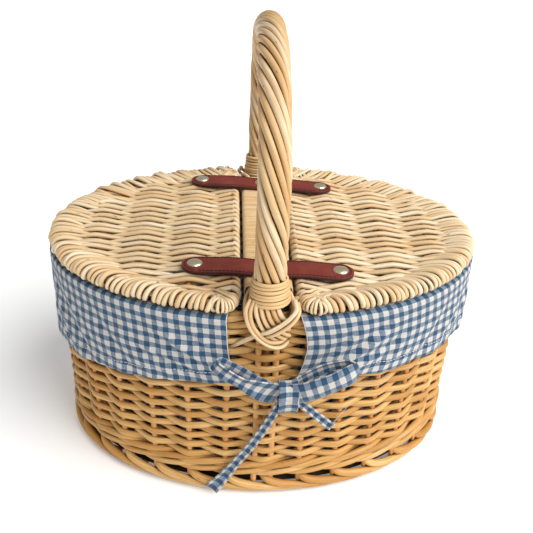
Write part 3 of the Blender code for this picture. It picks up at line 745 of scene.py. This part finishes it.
for lid, side in (("left", -1), ("right", 1)):
    body = f"lid_{lid}"
    weave = lay_rods(f"{body}_weavers", other_side(lid_rows(), side), lid_wood)
    belongs(weave, body, "lid_willow", f"lid_weave_{lid}")
    edge = lay_rods(f"{body}_border_rods", other_side(lid_claws(), side), lid_wood, 10)
    belongs(edge, body, "lid_willow", f"lid_border_{lid}")
    stick_low, stick_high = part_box(f"lid_hinge_stick_{lid}")
    ends = np.linspace((side * STICK_X, stick_low.y, LID_MIDDLE),
                       (side * STICK_X, stick_high.y, LID_MIDDLE), 20)
    stick = lay_rods(f"{body}_stick", [rod(ends, LID_RIB)], stake_wood)
    belongs(stick, body, "lid_willow", f"lid_hinge_stick_{lid}")
    for number, x in enumerate(LID_RIBS, start=1):
        reach = border_half[1] * math.sqrt(1 - (x / border_half[0]) ** 2) - 0.003
        ends = np.linspace((side * x, -reach, LID_MIDDLE), (side * x, reach, LID_MIDDLE), 20)
        rib = lay_rods(f"{body}_rib_{number}", [rod(ends, LID_RIB)], stake_wood)
        belongs(rib, body, "lid_willow", f"lid_rib_{lid}_{number}")


# Straps: two bridle-leather straps lie across the bar onto both lids. They are the hinges.
# Their edges are burnished and sewn with waxed thread close to the edge.

def bridle_leather(name, colour, wear_and_sheen, pore):
    """Bridle leather, dyed and waxed: a close pebble grain, darker in its pores, with
    paler blotches at random, partly wear and partly a painted sheen, and a soft gloss."""
    made, tree = new_material(name)
    where = add_node(tree, "TexCoord").outputs["Object"]
    # Real pores are 0.3 mm apart: drawn at 0.8 mm.
    pores = add_node(tree, "TexVoronoi", {"Scale": 1250.0}, {"Vector": where})
    blotch = noise_on(tree, where, 60.0, 5.0)
    # Paler blotches: partly wear, partly a painted sheen.
    dyed = tinted(tree, ranged(tree, blotch, 0.45, 0.75, 0.0, 0.6), colour, wear_and_sheen)
    deep = ranged(tree, pores.outputs["Distance"], 0.0, 0.5, 0.35, 0.0)
    grained = tinted(tree, deep, dyed, pore)
    dull = ranged(tree, blotch, to_low=0.36, to_high=0.58)
    bump = add_node(tree, "Bump", {"Strength": 0.3, "Distance": 0.0003},
                    {"Height": pores.outputs["Distance"]})
    finish(tree, {"IOR": 1.5, "Specular IOR Level": 0.35},
           {"Base Color": grained, "Roughness": dull, "Normal": bump})
    return made


strap_leather = bridle_leather("bridle_leather_oxblood", "#7b3026", "#954936", "#4c1b14")
edge_leather = bridle_leather("burnished_leather_edge", "#4e2522", "#63312c", "#38191a")
waxed_thread = bridle_leather("waxed_thread_brown", "#3f1a15", "#562a22", "#2c110e")
STRAP_HALF_LENGTH = 0.0740
STRAP_STRAIGHT = 0.0575
STRAP_HALF_WIDTH = 0.0135
STRAP_THICK = 0.0026
STRAP_CROWN = 0.0004
STRAP_RISE = 0.0011
BURNISHED_FROM = 0.93
RIVET_X = 0.0625
STITCH_IN = 0.0021
STITCH_PITCH = 0.0034
STITCH_ROD = 0.0005
STRAP_LAY = {"front": (-0.090, math.radians(-4.5)), "back": (0.090, math.radians(-6.5))}
hinge_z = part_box("strap_front_left")[0].z
FOLD = 0.0205
TAB = 0.0282


def strap_width(x):
    """Half the strap's width, which rounds to a blunt point at its end."""
    past = np.clip((np.abs(x) - STRAP_STRAIGHT) / (STRAP_HALF_LENGTH - STRAP_STRAIGHT), 0, 1)
    return STRAP_HALF_WIDTH * np.sqrt(np.clip(1 - past ** 2.3, 0, 1))


def strap_height(x):
    """The strap's underside: it rides up a little between the rivets."""
    return hinge_z + STRAP_RISE * np.sin(math.pi * np.clip(np.abs(x) / RIVET_X, 0, 1)) ** 2


def strap_place(place, points):
    middle, skew = STRAP_LAY[place]
    x, y, z = np.moveaxis(np.asarray(points, float), -1, 0)
    return np.stack([x * math.cos(skew) - y * math.sin(skew),
                     x * math.sin(skew) + y * math.cos(skew) + middle, z], axis=-1)


def grid_faces(rows, columns, wrap=False):
    """Faces of a grid of points. With wrap, each row's end joins its start."""
    index = np.arange(rows * columns).reshape(rows, columns)
    if wrap:
        index = np.concatenate([index, index[:, :1]], axis=1)
    quads = np.stack([index[:-1, :-1], index[:-1, 1:], index[1:, 1:], index[1:, :-1]], axis=2)
    return quads.reshape(-1, 4).tolist()


def new_piece(name, points, faces, *finishes):
    mesh = bpy.data.meshes.new(name)
    mesh.from_pydata(np.asarray(points).reshape(-1, 3).tolist(), [], faces)
    mesh.shade_smooth()
    for finish in finishes:
        mesh.materials.append(finish)
    piece = bpy.data.objects.new(name, mesh)
    bpy.context.scene.collection.objects.link(piece)
    return piece


def strap_half(name, place, side):
    """One half of a strap, as a closed slab with rounded edges."""
    x = np.concatenate([np.linspace(0, STRAP_STRAIGHT, 30),
                        STRAP_STRAIGHT + 0.0163 * np.sin(np.linspace(0.05, math.pi / 2, 16))])
    edge = [(0.95, 0.0), (0.985, 0.05), (1.0, 0.18), (1.0, 0.5), (1.0, 0.82), (0.985, 0.95),
            (0.95, 1.0)]
    section = [(t, 0.0) for t in np.linspace(-0.85, 0.85, 9)] + edge
    shape = np.array(section + [(-t, 1.0 - h) for t, h in section])
    half = np.maximum(strap_width(x), 0.0004)[:, None]
    y = shape[None, :, 0] * half
    crown = STRAP_CROWN * (1 - shape[None, :, 0] ** 2) * np.clip(half / STRAP_HALF_WIDTH, 0, 1)
    z = strap_height(x)[:, None] + shape[None, :, 1] * (STRAP_THICK + crown)
    grid = np.stack([np.broadcast_to(side * x[:, None], y.shape), y, z], axis=-1)
    columns = len(shape)
    faces = grid_faces(len(x), columns, wrap=True)
    faces += [list(range(columns))[::-1], list(range((len(x) - 1) * columns, len(x) * columns))]
    if side > 0:
        faces = [face[::-1] for face in faces]
    piece = new_piece(name, strap_place(place, grid), faces, strap_leather, edge_leather)
    for face in piece.data.polygons:
        share = np.mean([abs(shape[v % columns, 0]) for v in face.vertices])
        face.material_index = int(share > BURNISHED_FROM)
    return piece


for place in STRAP_LAY:
    for lid, side in (("left", -1), ("right", 1)):
        start, end = (side * FOLD, 0, hinge_z), (side * TAB, 0, hinge_z)
        half = strap_half(f"strap_leather_{place}_{lid}", place, side)
        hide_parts(f"strap_{place}_{lid}", f"strap_{place}_centre")
        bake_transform(half)
        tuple(start)
        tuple(end)
        stitches = []
        x = 0.0012
        while x < 0.0560:
            for edge in (-1, 1):
                y = edge * (STRAP_HALF_WIDTH - STITCH_IN)
                ends = [(side * (x + d), y, strap_height(x + d) + STRAP_THICK + h)
                        for d, h in ((0, 0.0001), (0.0012, 0.0004), (0.0024, 0.0001))]
                stitches.append(rod(strap_place(place, ends), STITCH_ROD))
            x += STITCH_PITCH
        for turn in np.linspace(-1.25, 1.25, 11):
            inner = STRAP_HALF_WIDTH - STITCH_IN
            ends = [(side * (STRAP_STRAIGHT + 0.0140 * math.cos(turn + d)),
                     inner * math.sin(turn + d), strap_height(RIVET_X) + STRAP_THICK + 0.0002)
                    for d in (0, 0.09, 0.18)]
            stitches.append(rod(strap_place(place, ends), STITCH_ROD))
        sewn = lay_rods(f"strap_stitches_{place}_{lid}", stitches, waxed_thread, 6)
        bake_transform(sewn)
        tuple(start)
        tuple(end)


# Rivets: low domed brass caps, pressed and tumbled. The middle one holds the strap to the
# bar and the outer ones hold it to each lid.

def tumbled_brass(name, colour, dull_colour):
    """Brass-plated steel, pressed and tumbled: pale gold, with faint tarnish."""
    made, tree = new_material(name)
    where = add_node(tree, "TexCoord").outputs["Object"]
    cloud = noise_on(tree, where, 420.0, 4.0)
    tint = tinted(tree, cloud, colour, dull_colour)
    dull = ranged(tree, cloud, to_low=0.26, to_high=0.42)
    bump = add_node(tree, "Bump", {"Strength": 0.15, "Distance": 0.0002}, {"Height": cloud})
    finish(tree, {"Metallic": 1.0}, {"Base Color": tint, "Roughness": dull, "Normal": bump})
    return made


brass = tumbled_brass("tumbled_brass", "#fff6dc", "#f2e3b8")
# The cap's profile: (radius, height).
CAP = ((0.0063, 0.0), (0.0067, 0.0002), (0.0068, 0.0006), (0.0066, 0.0010), (0.0058, 0.0017),
       (0.0044, 0.0023), (0.0028, 0.0027), (0.0012, 0.0029), (0.0001, 0.0029))
CAP_SIDES = 36
for place in STRAP_LAY:
    for spot, x in (("left", -RIVET_X), ("centre", 0.0), ("right", RIVET_X)):
        seat = strap_height(abs(x)) + STRAP_THICK + 0.0002
        cap_turn = np.arange(CAP_SIDES) * math.tau / CAP_SIDES
        rings = [[(x + r * math.cos(t), r * math.sin(t), seat + h) for t in cap_turn] for r, h in CAP]
        faces = grid_faces(len(CAP), CAP_SIDES, wrap=True)
        faces.append(list(range(CAP_SIDES))[::-1])
        faces.append(list(range((len(CAP) - 1) * CAP_SIDES, len(CAP) * CAP_SIDES)))
        cap = new_piece(f"rivet_cap_{place}_{spot}", strap_place(place, rings), faces, brass)
        belongs(cap, "basket" if spot == "centre" else f"lid_{spot}", "rivet_brass",
                f"rivet_{place}_{spot}")


# Liner: a bag of yarn-dyed cotton gingham inside the wall. It is loose, so it falls in soft
# upright folds, and it lies flat on the base.

GINGHAM = 0.0096


def cotton_gingham(name, dark, middle, pale):
    """Yarn-dyed cotton in a plain weave: blue and undyed stripes of 4.8 mm cross, so that
    squares are blue, white, or heathered where the two meet. Soft, dull and slightly slubby."""
    made, tree = new_material(name)
    cloth = add_node(tree, "Attribute", {"attribute_name": "cloth"}).outputs["Vector"]
    wobble = noise_on(tree, cloth, 260.0, 2.0)
    nudge = add_node(tree, "VectorMath",
                     {"operation": "MULTIPLY_ADD", 1: (0.0009,) * 3, 2: (-0.00045,) * 3},
                     {0: wobble.outputs["Color"]})
    moved = add_node(tree, "VectorMath", {"operation": "ADD"}, {0: cloth, 1: nudge})
    parts = add_node(tree, "SeparateXYZ", {}, {"Vector": moved})
    blues = []
    for way in ("X", "Y"):
        cycle = add_node(tree, "Math", {"operation": "WRAP", 1: GINGHAM, 2: 0.0},
                         {0: parts.outputs[way]})
        # The edge of a stripe blurs over one thread.
        rise = ranged(tree, cycle, GINGHAM * 0.47, GINGHAM * 0.53)
        fall = ranged(tree, cycle, GINGHAM * 0.97, GINGHAM)
        blues.append(add_node(tree, "Math", {"operation": "SUBTRACT"}, {0: rise, 1: fall}))
    both = add_node(tree, "Math", {"operation": "ADD"}, {0: blues[0], 1: blues[1]})
    half = add_node(tree, "Math", {"operation": "MULTIPLY", 1: 0.5}, {0: both})
    # Threads are 0.35 mm apart: drawn at 0.9 mm, as slubs that run both ways.
    slubs = [noise_on(tree, cloth, scale, 3.0) for scale in ((900, 160, 1), (160, 900, 1))]
    slub = add_node(tree, "Math", {"operation": "ADD"}, {0: slubs[0], 1: slubs[1]})
    heather = ranged(tree, slub, 0.7, 1.3, -0.13, 0.13)
    shade = add_node(tree, "Math", {"operation": "ADD"}, {0: half, 1: heather})
    dyed = add_node(tree, "ValToRGB",
                    {"stops": [(0.0, pale), (0.12, pale), (0.5, middle), (0.88, dark), (1.0, dark)]},
                    {"Fac": shade})
    bump = add_node(tree, "Bump", {"Strength": 0.45, "Distance": 0.0004}, {"Height": slub})
    finish(tree, {"Roughness": 0.9, "IOR": 1.45, "Specular IOR Level": 0.25,
                  "Sheen Weight": 0.25, "Sheen Roughness": 0.5}, {"Base Color": dyed, "Normal": bump})
    return made


gingham = cotton_gingham("cotton_gingham_blue", "#294863", "#6d7f90", "#cbc4bd")


def cloth_piece(name, grid, cut, finish, thick=0.0008):
    """A sheet from a grid of points, with its place on the flat cloth at each point."""
    rows, columns = grid.shape[:2]
    piece = new_piece(name, grid, grid_faces(rows, columns), finish)
    flat_place = np.zeros((rows, columns, 3))
    flat_place[..., :2] = cut
    piece.data.attributes.new("cloth", "FLOAT_VECTOR", "POINT").data.foreach_set(
        "vector", flat_place.ravel())
    shell = piece.modifiers.new("thickness", "SOLIDIFY")
    shell.thickness = thick
    shell.offset = 0.0
    return piece


liner_low, liner_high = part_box("liner_bag")
LINER_OUT = -0.0200
LINER_SLACK = 0.0060
LINER_FOLDS = ((17, 0.0012), (29, 0.0009), (41, 0.0005))
FLAP = 0.0150
FLAP_Z = 0.2044
s = np.linspace(0, 1, 361)
wall_part = np.linspace(liner_high.z - 0.0008, liner_low.z + 0.010, 40)
folds = np.zeros_like(s)
for count, size in LINER_FOLDS:
    folds += size * np.sin(math.tau * count * s + rng.random() * math.tau)
folds[-1] = folds[0]
rows, cut = [], []
# Away from the handle's feet its top edge rises to the valances, which it is sewn to.
from_foot = 0.25 - np.abs(np.mod(s, 0.5) - 0.25)
rise = np.clip((from_foot - 0.034) / 0.012, 0, 1)
for part in (1.0, 0.7, 0.35):
    z = wall_part[0] + part * rise * (FLAP_Z - wall_part[0])
    rows.append(on_wall(s, z + 0.0001 * part, LINER_OUT - part ** 2 * rise * (FLAP + LINER_OUT)))
    cut.append(np.stack([s * WALL_ROUND, -z - 0.004 * part * rise], axis=1))
for z in wall_part:
    loose = math.sin(math.pi * min(1.0, (liner_high.z - z) / 0.10) / 2)
    rows.append(on_wall(s, z, LINER_OUT - LINER_SLACK * loose + folds * loose))
    cut.append(np.stack([s * WALL_ROUND, np.full_like(s, -z)], axis=1))
floor_z = liner_low.z + 0.0012
wall_foot = rows[-1]
for t in np.linspace(0.15, 1, 26):
    shrink = (1 - t) ** 0.8
    ring = wall_foot.copy()
    ring[:, :2] *= shrink * 0.985 + 0.0001
    ring[:, 2] = floor_z + (wall_part[-1] - floor_z) * max(0.0, 1 - t / 0.3) ** 2
    rows.append(ring)
    cut.append(ring[:, :2].copy())
bag = cloth_piece("liner_cloth", np.array(rows), np.array(cut), gingham)
belongs(bag, "basket", "gingham_cotton", "liner_bag")


# Valances: at each side the liner turns out over the rim and hangs below it as a skirt,
# open at the front and back handle feet. Its lower corners are drawn in by the ties.

VALANCE_LONG = 0.470
TURN_DOWN = 0.0040
HEM_FRONT = 0.1400
HEM_THICK = 0.0005
STITCH_UP = 0.0110
HEM_STITCH, HEM_THREAD = 0.0044, 0.0003
BINDING = 0.00045
# Soft waves: (how many along it, size, tilt, which seed).
WAVES = ((9, 0.0008, 26, 1), (17, 0.0006, 40, 2), (29, 0.0004, 55, 3))
# The edges beside the front opening and the back one: (height, way from the middle).
NEAR_EDGE = ((0.1380, 0.0220), (0.1430, 0.0240), (0.1500, 0.0268), (0.1610, 0.0298),
             (0.1750, 0.0320), (0.1900, 0.0302), (0.2050, 0.0262))
FAR_EDGE = ((0.1380, 0.0240), (0.1460, 0.0268), (0.1550, 0.0292), (0.1680, 0.0322),
            (0.2050, 0.0345))
CREASES = (
    # (share across, height) at both ends, depth and width of each pulled crease
    (0.045, 0.150, 0.150, 0.187, 0.0028, 0.0040), (0.040, 0.144, 0.180, 0.168, 0.0020, 0.0036),
    (0.030, 0.158, 0.100, 0.193, 0.0016, 0.0030), (0.960, 0.152, 0.880, 0.178, 0.0026, 0.0040),
    (0.950, 0.147, 0.830, 0.160, 0.0018, 0.0034), (0.975, 0.165, 0.930, 0.190, 0.0014, 0.0030),
)


def valance_parts(across, down, drop, seeds):
    """Points of a valance: across runs 0 to 1 from the front opening round the side to the
    back one, and down 0 to 1 from the flap's inner edge to the hem. The hem is lower by
    drop at the side."""
    across, down = np.broadcast_arrays(across, down)
    bow_share = np.abs(2 * across - 1)
    hem = (HEM_FRONT - drop * (1 - np.sqrt(bow_share ** 2 + 0.02))
           + 0.0008 * np.sin(across * 46 + seeds[0]))
    quarter = TURN_DOWN * math.pi / 2
    top = FLAP_Z - TURN_DOWN
    long = FLAP + quarter + top - hem
    v = down * long
    bend = np.clip((v - FLAP) / quarter, 0, 1) * math.pi / 2
    fall = np.maximum(v - FLAP - quarter, 0)
    z = top + TURN_DOWN * np.cos(bend) - fall
    out = -FLAP + np.minimum(v, FLAP) + TURN_DOWN * np.sin(bend) + 0.0010 * fall / 0.08
    near = wall_share(np.interp(z, *smooth(NEAR_EDGE, 60).T), z)
    far = wall_share(np.interp(z, *smooth(FAR_EDGE, 60).T), z)
    s = near + across * (0.5 - near - far)
    free = np.clip(fall / 0.035, 0, 1) ** 1.2
    wave = np.zeros_like(z)
    for beats, size, tilt, seed in WAVES:
        wave += size * np.sin(math.tau * beats * across + tilt * (0.2 - z) * 4
                              * np.sign(0.5 - across) + seeds[seed])
    side = np.exp(-((across - 0.5) / 0.30) ** 2)
    out = out + free * (0.0004 + wave * (0.5 + 0.8 * side)) - 0.0016 * np.clip(fall / 0.08, 0, 1)
    for a0, z0, a1, z1, deep, wide in CREASES:
        ax, az = (a1 - a0) * VALANCE_LONG, z1 - z0
        px, pz = (across - a0) * VALANCE_LONG, z - z0
        t = np.clip((px * ax + pz * az) / (ax * ax + az * az), 0, 1)
        off = (px - t * ax) * az - (pz - t * az) * ax
        off = off / math.hypot(ax, az)
        dist = np.hypot(px - t * ax, pz - t * az) * np.sign(off)
        fade = np.sin(math.pi * (0.12 + 0.88 * (1 - t)))
        out = out + deep * fade * (np.exp(-((dist - wide) / wide) ** 2)
                                   - 0.9 * np.exp(-((dist + wide * 0.4) / wide) ** 2))
    # The hem is turned up and sewn, so it is a little thicker below the stitching.
    to_hem = (1 - down) * long
    out = out + HEM_THICK * np.clip((STITCH_UP - to_hem) / 0.0008, 0, 1)
    out = np.where(fall > 0, np.maximum(out, 0.0014), out)
    return s, z, out, v


cotton_thread = cotton_gingham("cotton_thread_white", "#b4bcc8", "#c2c8d1", "#d0d3d8")
COLUMNS, DROPS = 300, 52
for lid, half_turn, drop in (("right", 0.0, 0.0060), ("left", 0.5, 0.0330)):
    seeds = rng.random(4) * math.tau
    across = np.linspace(0, 1, COLUMNS)[None, :]
    down = np.linspace(0, 1, DROPS)[:, None]
    s, z, out, v = valance_parts(across, down, drop, seeds)
    grid = on_wall(s + half_turn, z, out)
    cut = np.stack([np.broadcast_to(across * VALANCE_LONG, v.shape), v], axis=-1)
    skirt = cloth_piece(f"valance_{lid}", grid, cut, gingham)
    stitch_rods = []
    for c in np.arange(0.006, 0.994, 0.0072):
        ends = []
        for step, proud in ((0, 0.0004), (HEM_STITCH / 2, 0.0009), (HEM_STITCH, 0.0004)):
            length = np.interp(c + step, across[0], v[-1])
            one = valance_parts(c + step, 1 - STITCH_UP / length, drop, seeds)
            ends.append(on_wall(one[0] + half_turn, one[1], one[2] + proud))
        stitch_rods.append(rod(np.array(ends), HEM_THREAD, wall_facing(one[0] + half_turn)))
    sewn = lay_rods(f"valance_{lid}_stitches", stitch_rods, cotton_thread, 6)
    edge_rods = []
    for c in (0.0, 1.0):
        e_s, e_z, e_out, _ = valance_parts(c, np.linspace(0, 1, 70), drop, seeds)
        edge_rods.append(rod(on_wall(e_s + half_turn, e_z, e_out), BINDING,
                             wall_facing(e_s + half_turn) + (0, 0, 0.3)))
    selvedge = lay_rods(f"valance_{lid}_binding", edge_rods, cotton_thread, 8)
    belongs(skirt, "basket", "gingham_cotton", f"liner_valance_{lid}")
    belongs(sewn, "basket", "gingham_cotton")
    belongs(selvedge, "basket", "gingham_cotton")


# Ties: a folded gingham tape from each lower corner, tied in a bow at the front and at the
# back. The loops stand out a little, and one tail hangs nearly to the foot.

def ribbon(path, across, widths, crown=0.0, steps=9, strip=(0.0024, 0.0072)):
    """Grid of a tape: its middle line, the way across it and its half width along it. The
    strip is the middle and half width of what shows of the flat cloth."""
    path = np.asarray(path, float)
    across = np.asarray(across, float)
    across = across / np.linalg.norm(across, axis=1)[:, None]
    ahead = np.gradient(path, axis=0)
    facing = np.cross(ahead, across)
    facing /= np.linalg.norm(facing, axis=1)[:, None]
    share = np.linspace(-1, 1, steps)[None, :, None]
    grid = (path[:, None] + share * widths[:, None, None] * across[:, None]
            + crown * (1 - share ** 2) * facing[:, None])
    gaps = np.linalg.norm(np.diff(path, axis=0), axis=1)
    along = np.concatenate([[0], np.cumsum(gaps)])
    cut = np.stack([np.broadcast_to(along[:, None], grid.shape[:2]),
                    np.broadcast_to(strip[0] + share[..., 0] * strip[1], grid.shape[:2])], axis=-1)
    return grid, cut


# Both loops as points of the tape's middle line, from the knot's front and back to it.
LEFT_LOOP = ((0.0110, -0.1560, 0.1370), (-0.0040, -0.1605, 0.1440), (-0.0190, -0.1625, 0.1520),
             (-0.0330, -0.1615, 0.1600), (-0.0420, -0.1580, 0.1655), (-0.0445, -0.1548, 0.1680),
             (-0.0405, -0.1525, 0.1684), (-0.0280, -0.1520, 0.1618), (-0.0120, -0.1535, 0.1520),
             (0.0070, -0.1545, 0.1420))
RIGHT_LOOP = ((0.0160, -0.1570, 0.1385), (0.0300, -0.1635, 0.1452), (0.0450, -0.1650, 0.1524),
              (0.0600, -0.1625, 0.1584), (0.0706, -0.1575, 0.1620), (0.0728, -0.1540, 0.1640),
              (0.0664, -0.1512, 0.1650), (0.0500, -0.1508, 0.1612), (0.0330, -0.1520, 0.1530),
              (0.0180, -0.1540, 0.1425))
# Both tails as points (x, z, out from the wall), from the knot to the cut end.
TAIL_LONG = ((0.0120, 0.1290, 0.0130), (0.0080, 0.1130, 0.0105), (0.0022, 0.0970, 0.0080),
             (-0.0050, 0.0800, 0.0066), (-0.0130, 0.0640, 0.0060), (-0.0225, 0.0480, 0.0060),
             (-0.0350, 0.0260, 0.0064), (-0.0455, 0.0105, 0.0080))
TAIL_SHORT = ((0.0210, 0.1290, 0.0130), (0.0285, 0.1200, 0.0095), (0.0405, 0.1060, 0.0080),
              (0.0500, 0.0950, 0.0076), (0.0580, 0.0862, 0.0080))

# One thread has come loose from the short tail's cut end.
LOOSE_THREAD = ((0.0580, 0.0866, 0.0082), (0.0600, 0.0920, 0.0070), (0.0650, 0.0985, 0.0062),
                (0.0700, 0.1060, 0.0060), (0.0722, 0.1120, 0.0064))


KNOT_MIDDLE = (0.0172, -0.1582, 0.1372)
KNOT_DEEP, KNOT_TALL, KNOT_HALF_WIDTH = 0.0082, 0.0165, 0.0080
LOOP_THICK, FOLDED_THICK = 0.0014, 0.0016


def half_turned(grid, turned):
    """The bow at the back is the front one turned half round."""
    return grid * np.array([-1, -1, 1]) if turned else grid


def tail(points, start_width, end_width, count=40):
    """A tape folded lengthwise: narrow at the knot and wider at its cut end."""
    x, z, out = smooth(points, count).T
    s = wall_share(x, z)
    path = on_wall(s, z, out)
    ahead = np.gradient(path, axis=0)
    across = np.cross(ahead, wall_facing(s))
    widths = np.interp(np.linspace(0, 1, count), (0, 0.75, 1),
                       (start_width, start_width * 1.15, end_width))
    return ribbon(path, across, widths, crown=0.0022, strip=(0.0072, 0.0034))


for place, turned in (("front", False), ("back", True)):
    # Each loop's half width where it is gathered, in its front layer and in its back one.
    for name, points, up, gather, front, back in (
            ("left", LEFT_LOOP, (0.55, -0.10, 0.85), 0.0118, 0.0054, 0.0046),
            ("right", RIGHT_LOOP, (-0.32, -0.14, 0.95), 0.0112, 0.0102, 0.0048)):
        path = smooth(points, 64)
        share = np.linspace(0, 1, 64)
        widths = np.interp(share, (0, 0.10, 0.24, 0.42, 0.55, 1),
                           (gather, gather, front, front, back, back))
        widths += 0.0002 * np.sin(share * 40)
        across = np.broadcast_to(up, (64, 3))
        grid, cut = ribbon(path, across, widths, crown=0.0016)
        loop = cloth_piece(f"bow_loop_{name}_{place}", half_turned(grid, turned), cut, gingham,
                           LOOP_THICK)
        belongs(loop, "basket", "gingham_cotton", f"tie_bow_{place}")
    knot_turn = np.linspace(0, math.tau, 41)
    swell = 1 + 0.06 * np.sin(3 * knot_turn)
    path = KNOT_MIDDLE + np.stack([0.0006 * np.cos(knot_turn), -KNOT_DEEP * swell * np.cos(knot_turn),
                                   KNOT_TALL * swell * np.sin(knot_turn)], axis=1)
    grid, cut = ribbon(path, np.broadcast_to((1.0, 0.0, 0.08), (41, 3)),
                       np.full(41, KNOT_HALF_WIDTH), crown=0.0016, steps=13)
    band = cloth_piece(f"bow_knot_{place}", half_turned(grid, turned), cut, gingham, FOLDED_THICK)
    belongs(band, "basket", "gingham_cotton")
    for name, points, widths in (("long", TAIL_LONG, (0.0033, 0.0068)),
                                 ("short", TAIL_SHORT, (0.0031, 0.0034))):
        grid, cut = tail(points, *widths)
        end = cloth_piece(f"bow_tail_{name}_{place}", half_turned(grid, turned), cut, gingham,
                          FOLDED_THICK)
        belongs(end, "basket", "gingham_cotton", f"tie_tail_{name}_{place}")
        size = (0.142, 0.0106) if name == "long" else (0.060, 0.0100)
    x, z, out = smooth(LOOSE_THREAD, 24).T
    s = wall_share(x, z) + (0.5 if turned else 0.0)
    thread = lay_rods(f"bow_thread_{place}", [rod(on_wall(s, z, out), 0.00025)], cotton_thread, 6)
    belongs(thread, "basket", "gingham_cotton")


# Studio: a plain pale floor, a broad soft light from the right and a bright room. The
# floor is matt and gives off a little light, so that the shadow on it stays soft.

FLOOR = linear("#f4f4f3")
ROOM_LIGHT = 0.32
floor = new_piece("studio_floor", [(-6, -6, 0), (6, -6, 0), (6, 6, 0), (-6, 6, 0)], [[0, 1, 2, 3]])
floor_paint, floor_tree = new_material("studio_floor_paint")
finish(floor_tree, {"Base Color": FLOOR, "Roughness": 0.9, "Emission Color": FLOOR,
                    "Emission Strength": 0.24}, {})
floor.data.materials.append(floor_paint)

world = bpy.data.worlds.new("studio_room")
bpy.context.scene.world = world
world.use_nodes = True
world.node_tree.nodes["Background"].inputs["Color"].default_value = linear("#f3f5f8")
world.node_tree.nodes["Background"].inputs["Strength"].default_value = ROOM_LIGHT

for name, place, spread, power in (("key", (1.05, -0.72, 1.35), 50.0, 3.5),
                                   ("fill", (-0.2, -1.4, 1.3), 70.0, 0.12)):
    lamp = bpy.data.lights.new(f"{name}_light", "SUN")
    lamp.angle = math.radians(spread)
    lamp.energy = power
    holder = bpy.data.objects.new(f"{name}_light", lamp)
    holder.location = place
    holder.rotation_euler = (-holder.location).to_track_quat("-Z", "Y").to_euler()
    bpy.context.scene.collection.objects.link(holder)

AZIMUTH, ELEVATION, ROLL = math.radians(-3.35), math.radians(29.6), math.radians(2.35)
AIM = Vector((0.0042, 0.0, 0.171))
CAMERA_AWAY = 0.750
lens = bpy.data.cameras.new("camera")
lens.sensor_width = 36.0
lens.lens = 51.1
camera = bpy.data.objects.new("camera", lens)
back = Vector((math.sin(AZIMUTH) * math.cos(ELEVATION), -math.cos(AZIMUTH) * math.cos(ELEVATION),
               math.sin(ELEVATION)))
camera.location = AIM + CAMERA_AWAY * back
facing = back.to_track_quat("Z", "Y").to_matrix()
camera.rotation_euler = (facing @ Matrix.Rotation(ROLL, 3, "Z")).to_euler()
bpy.context.scene.collection.objects.link(camera)
bpy.context.scene.camera = camera
bpy.context.scene.view_settings.view_transform = "Standard"
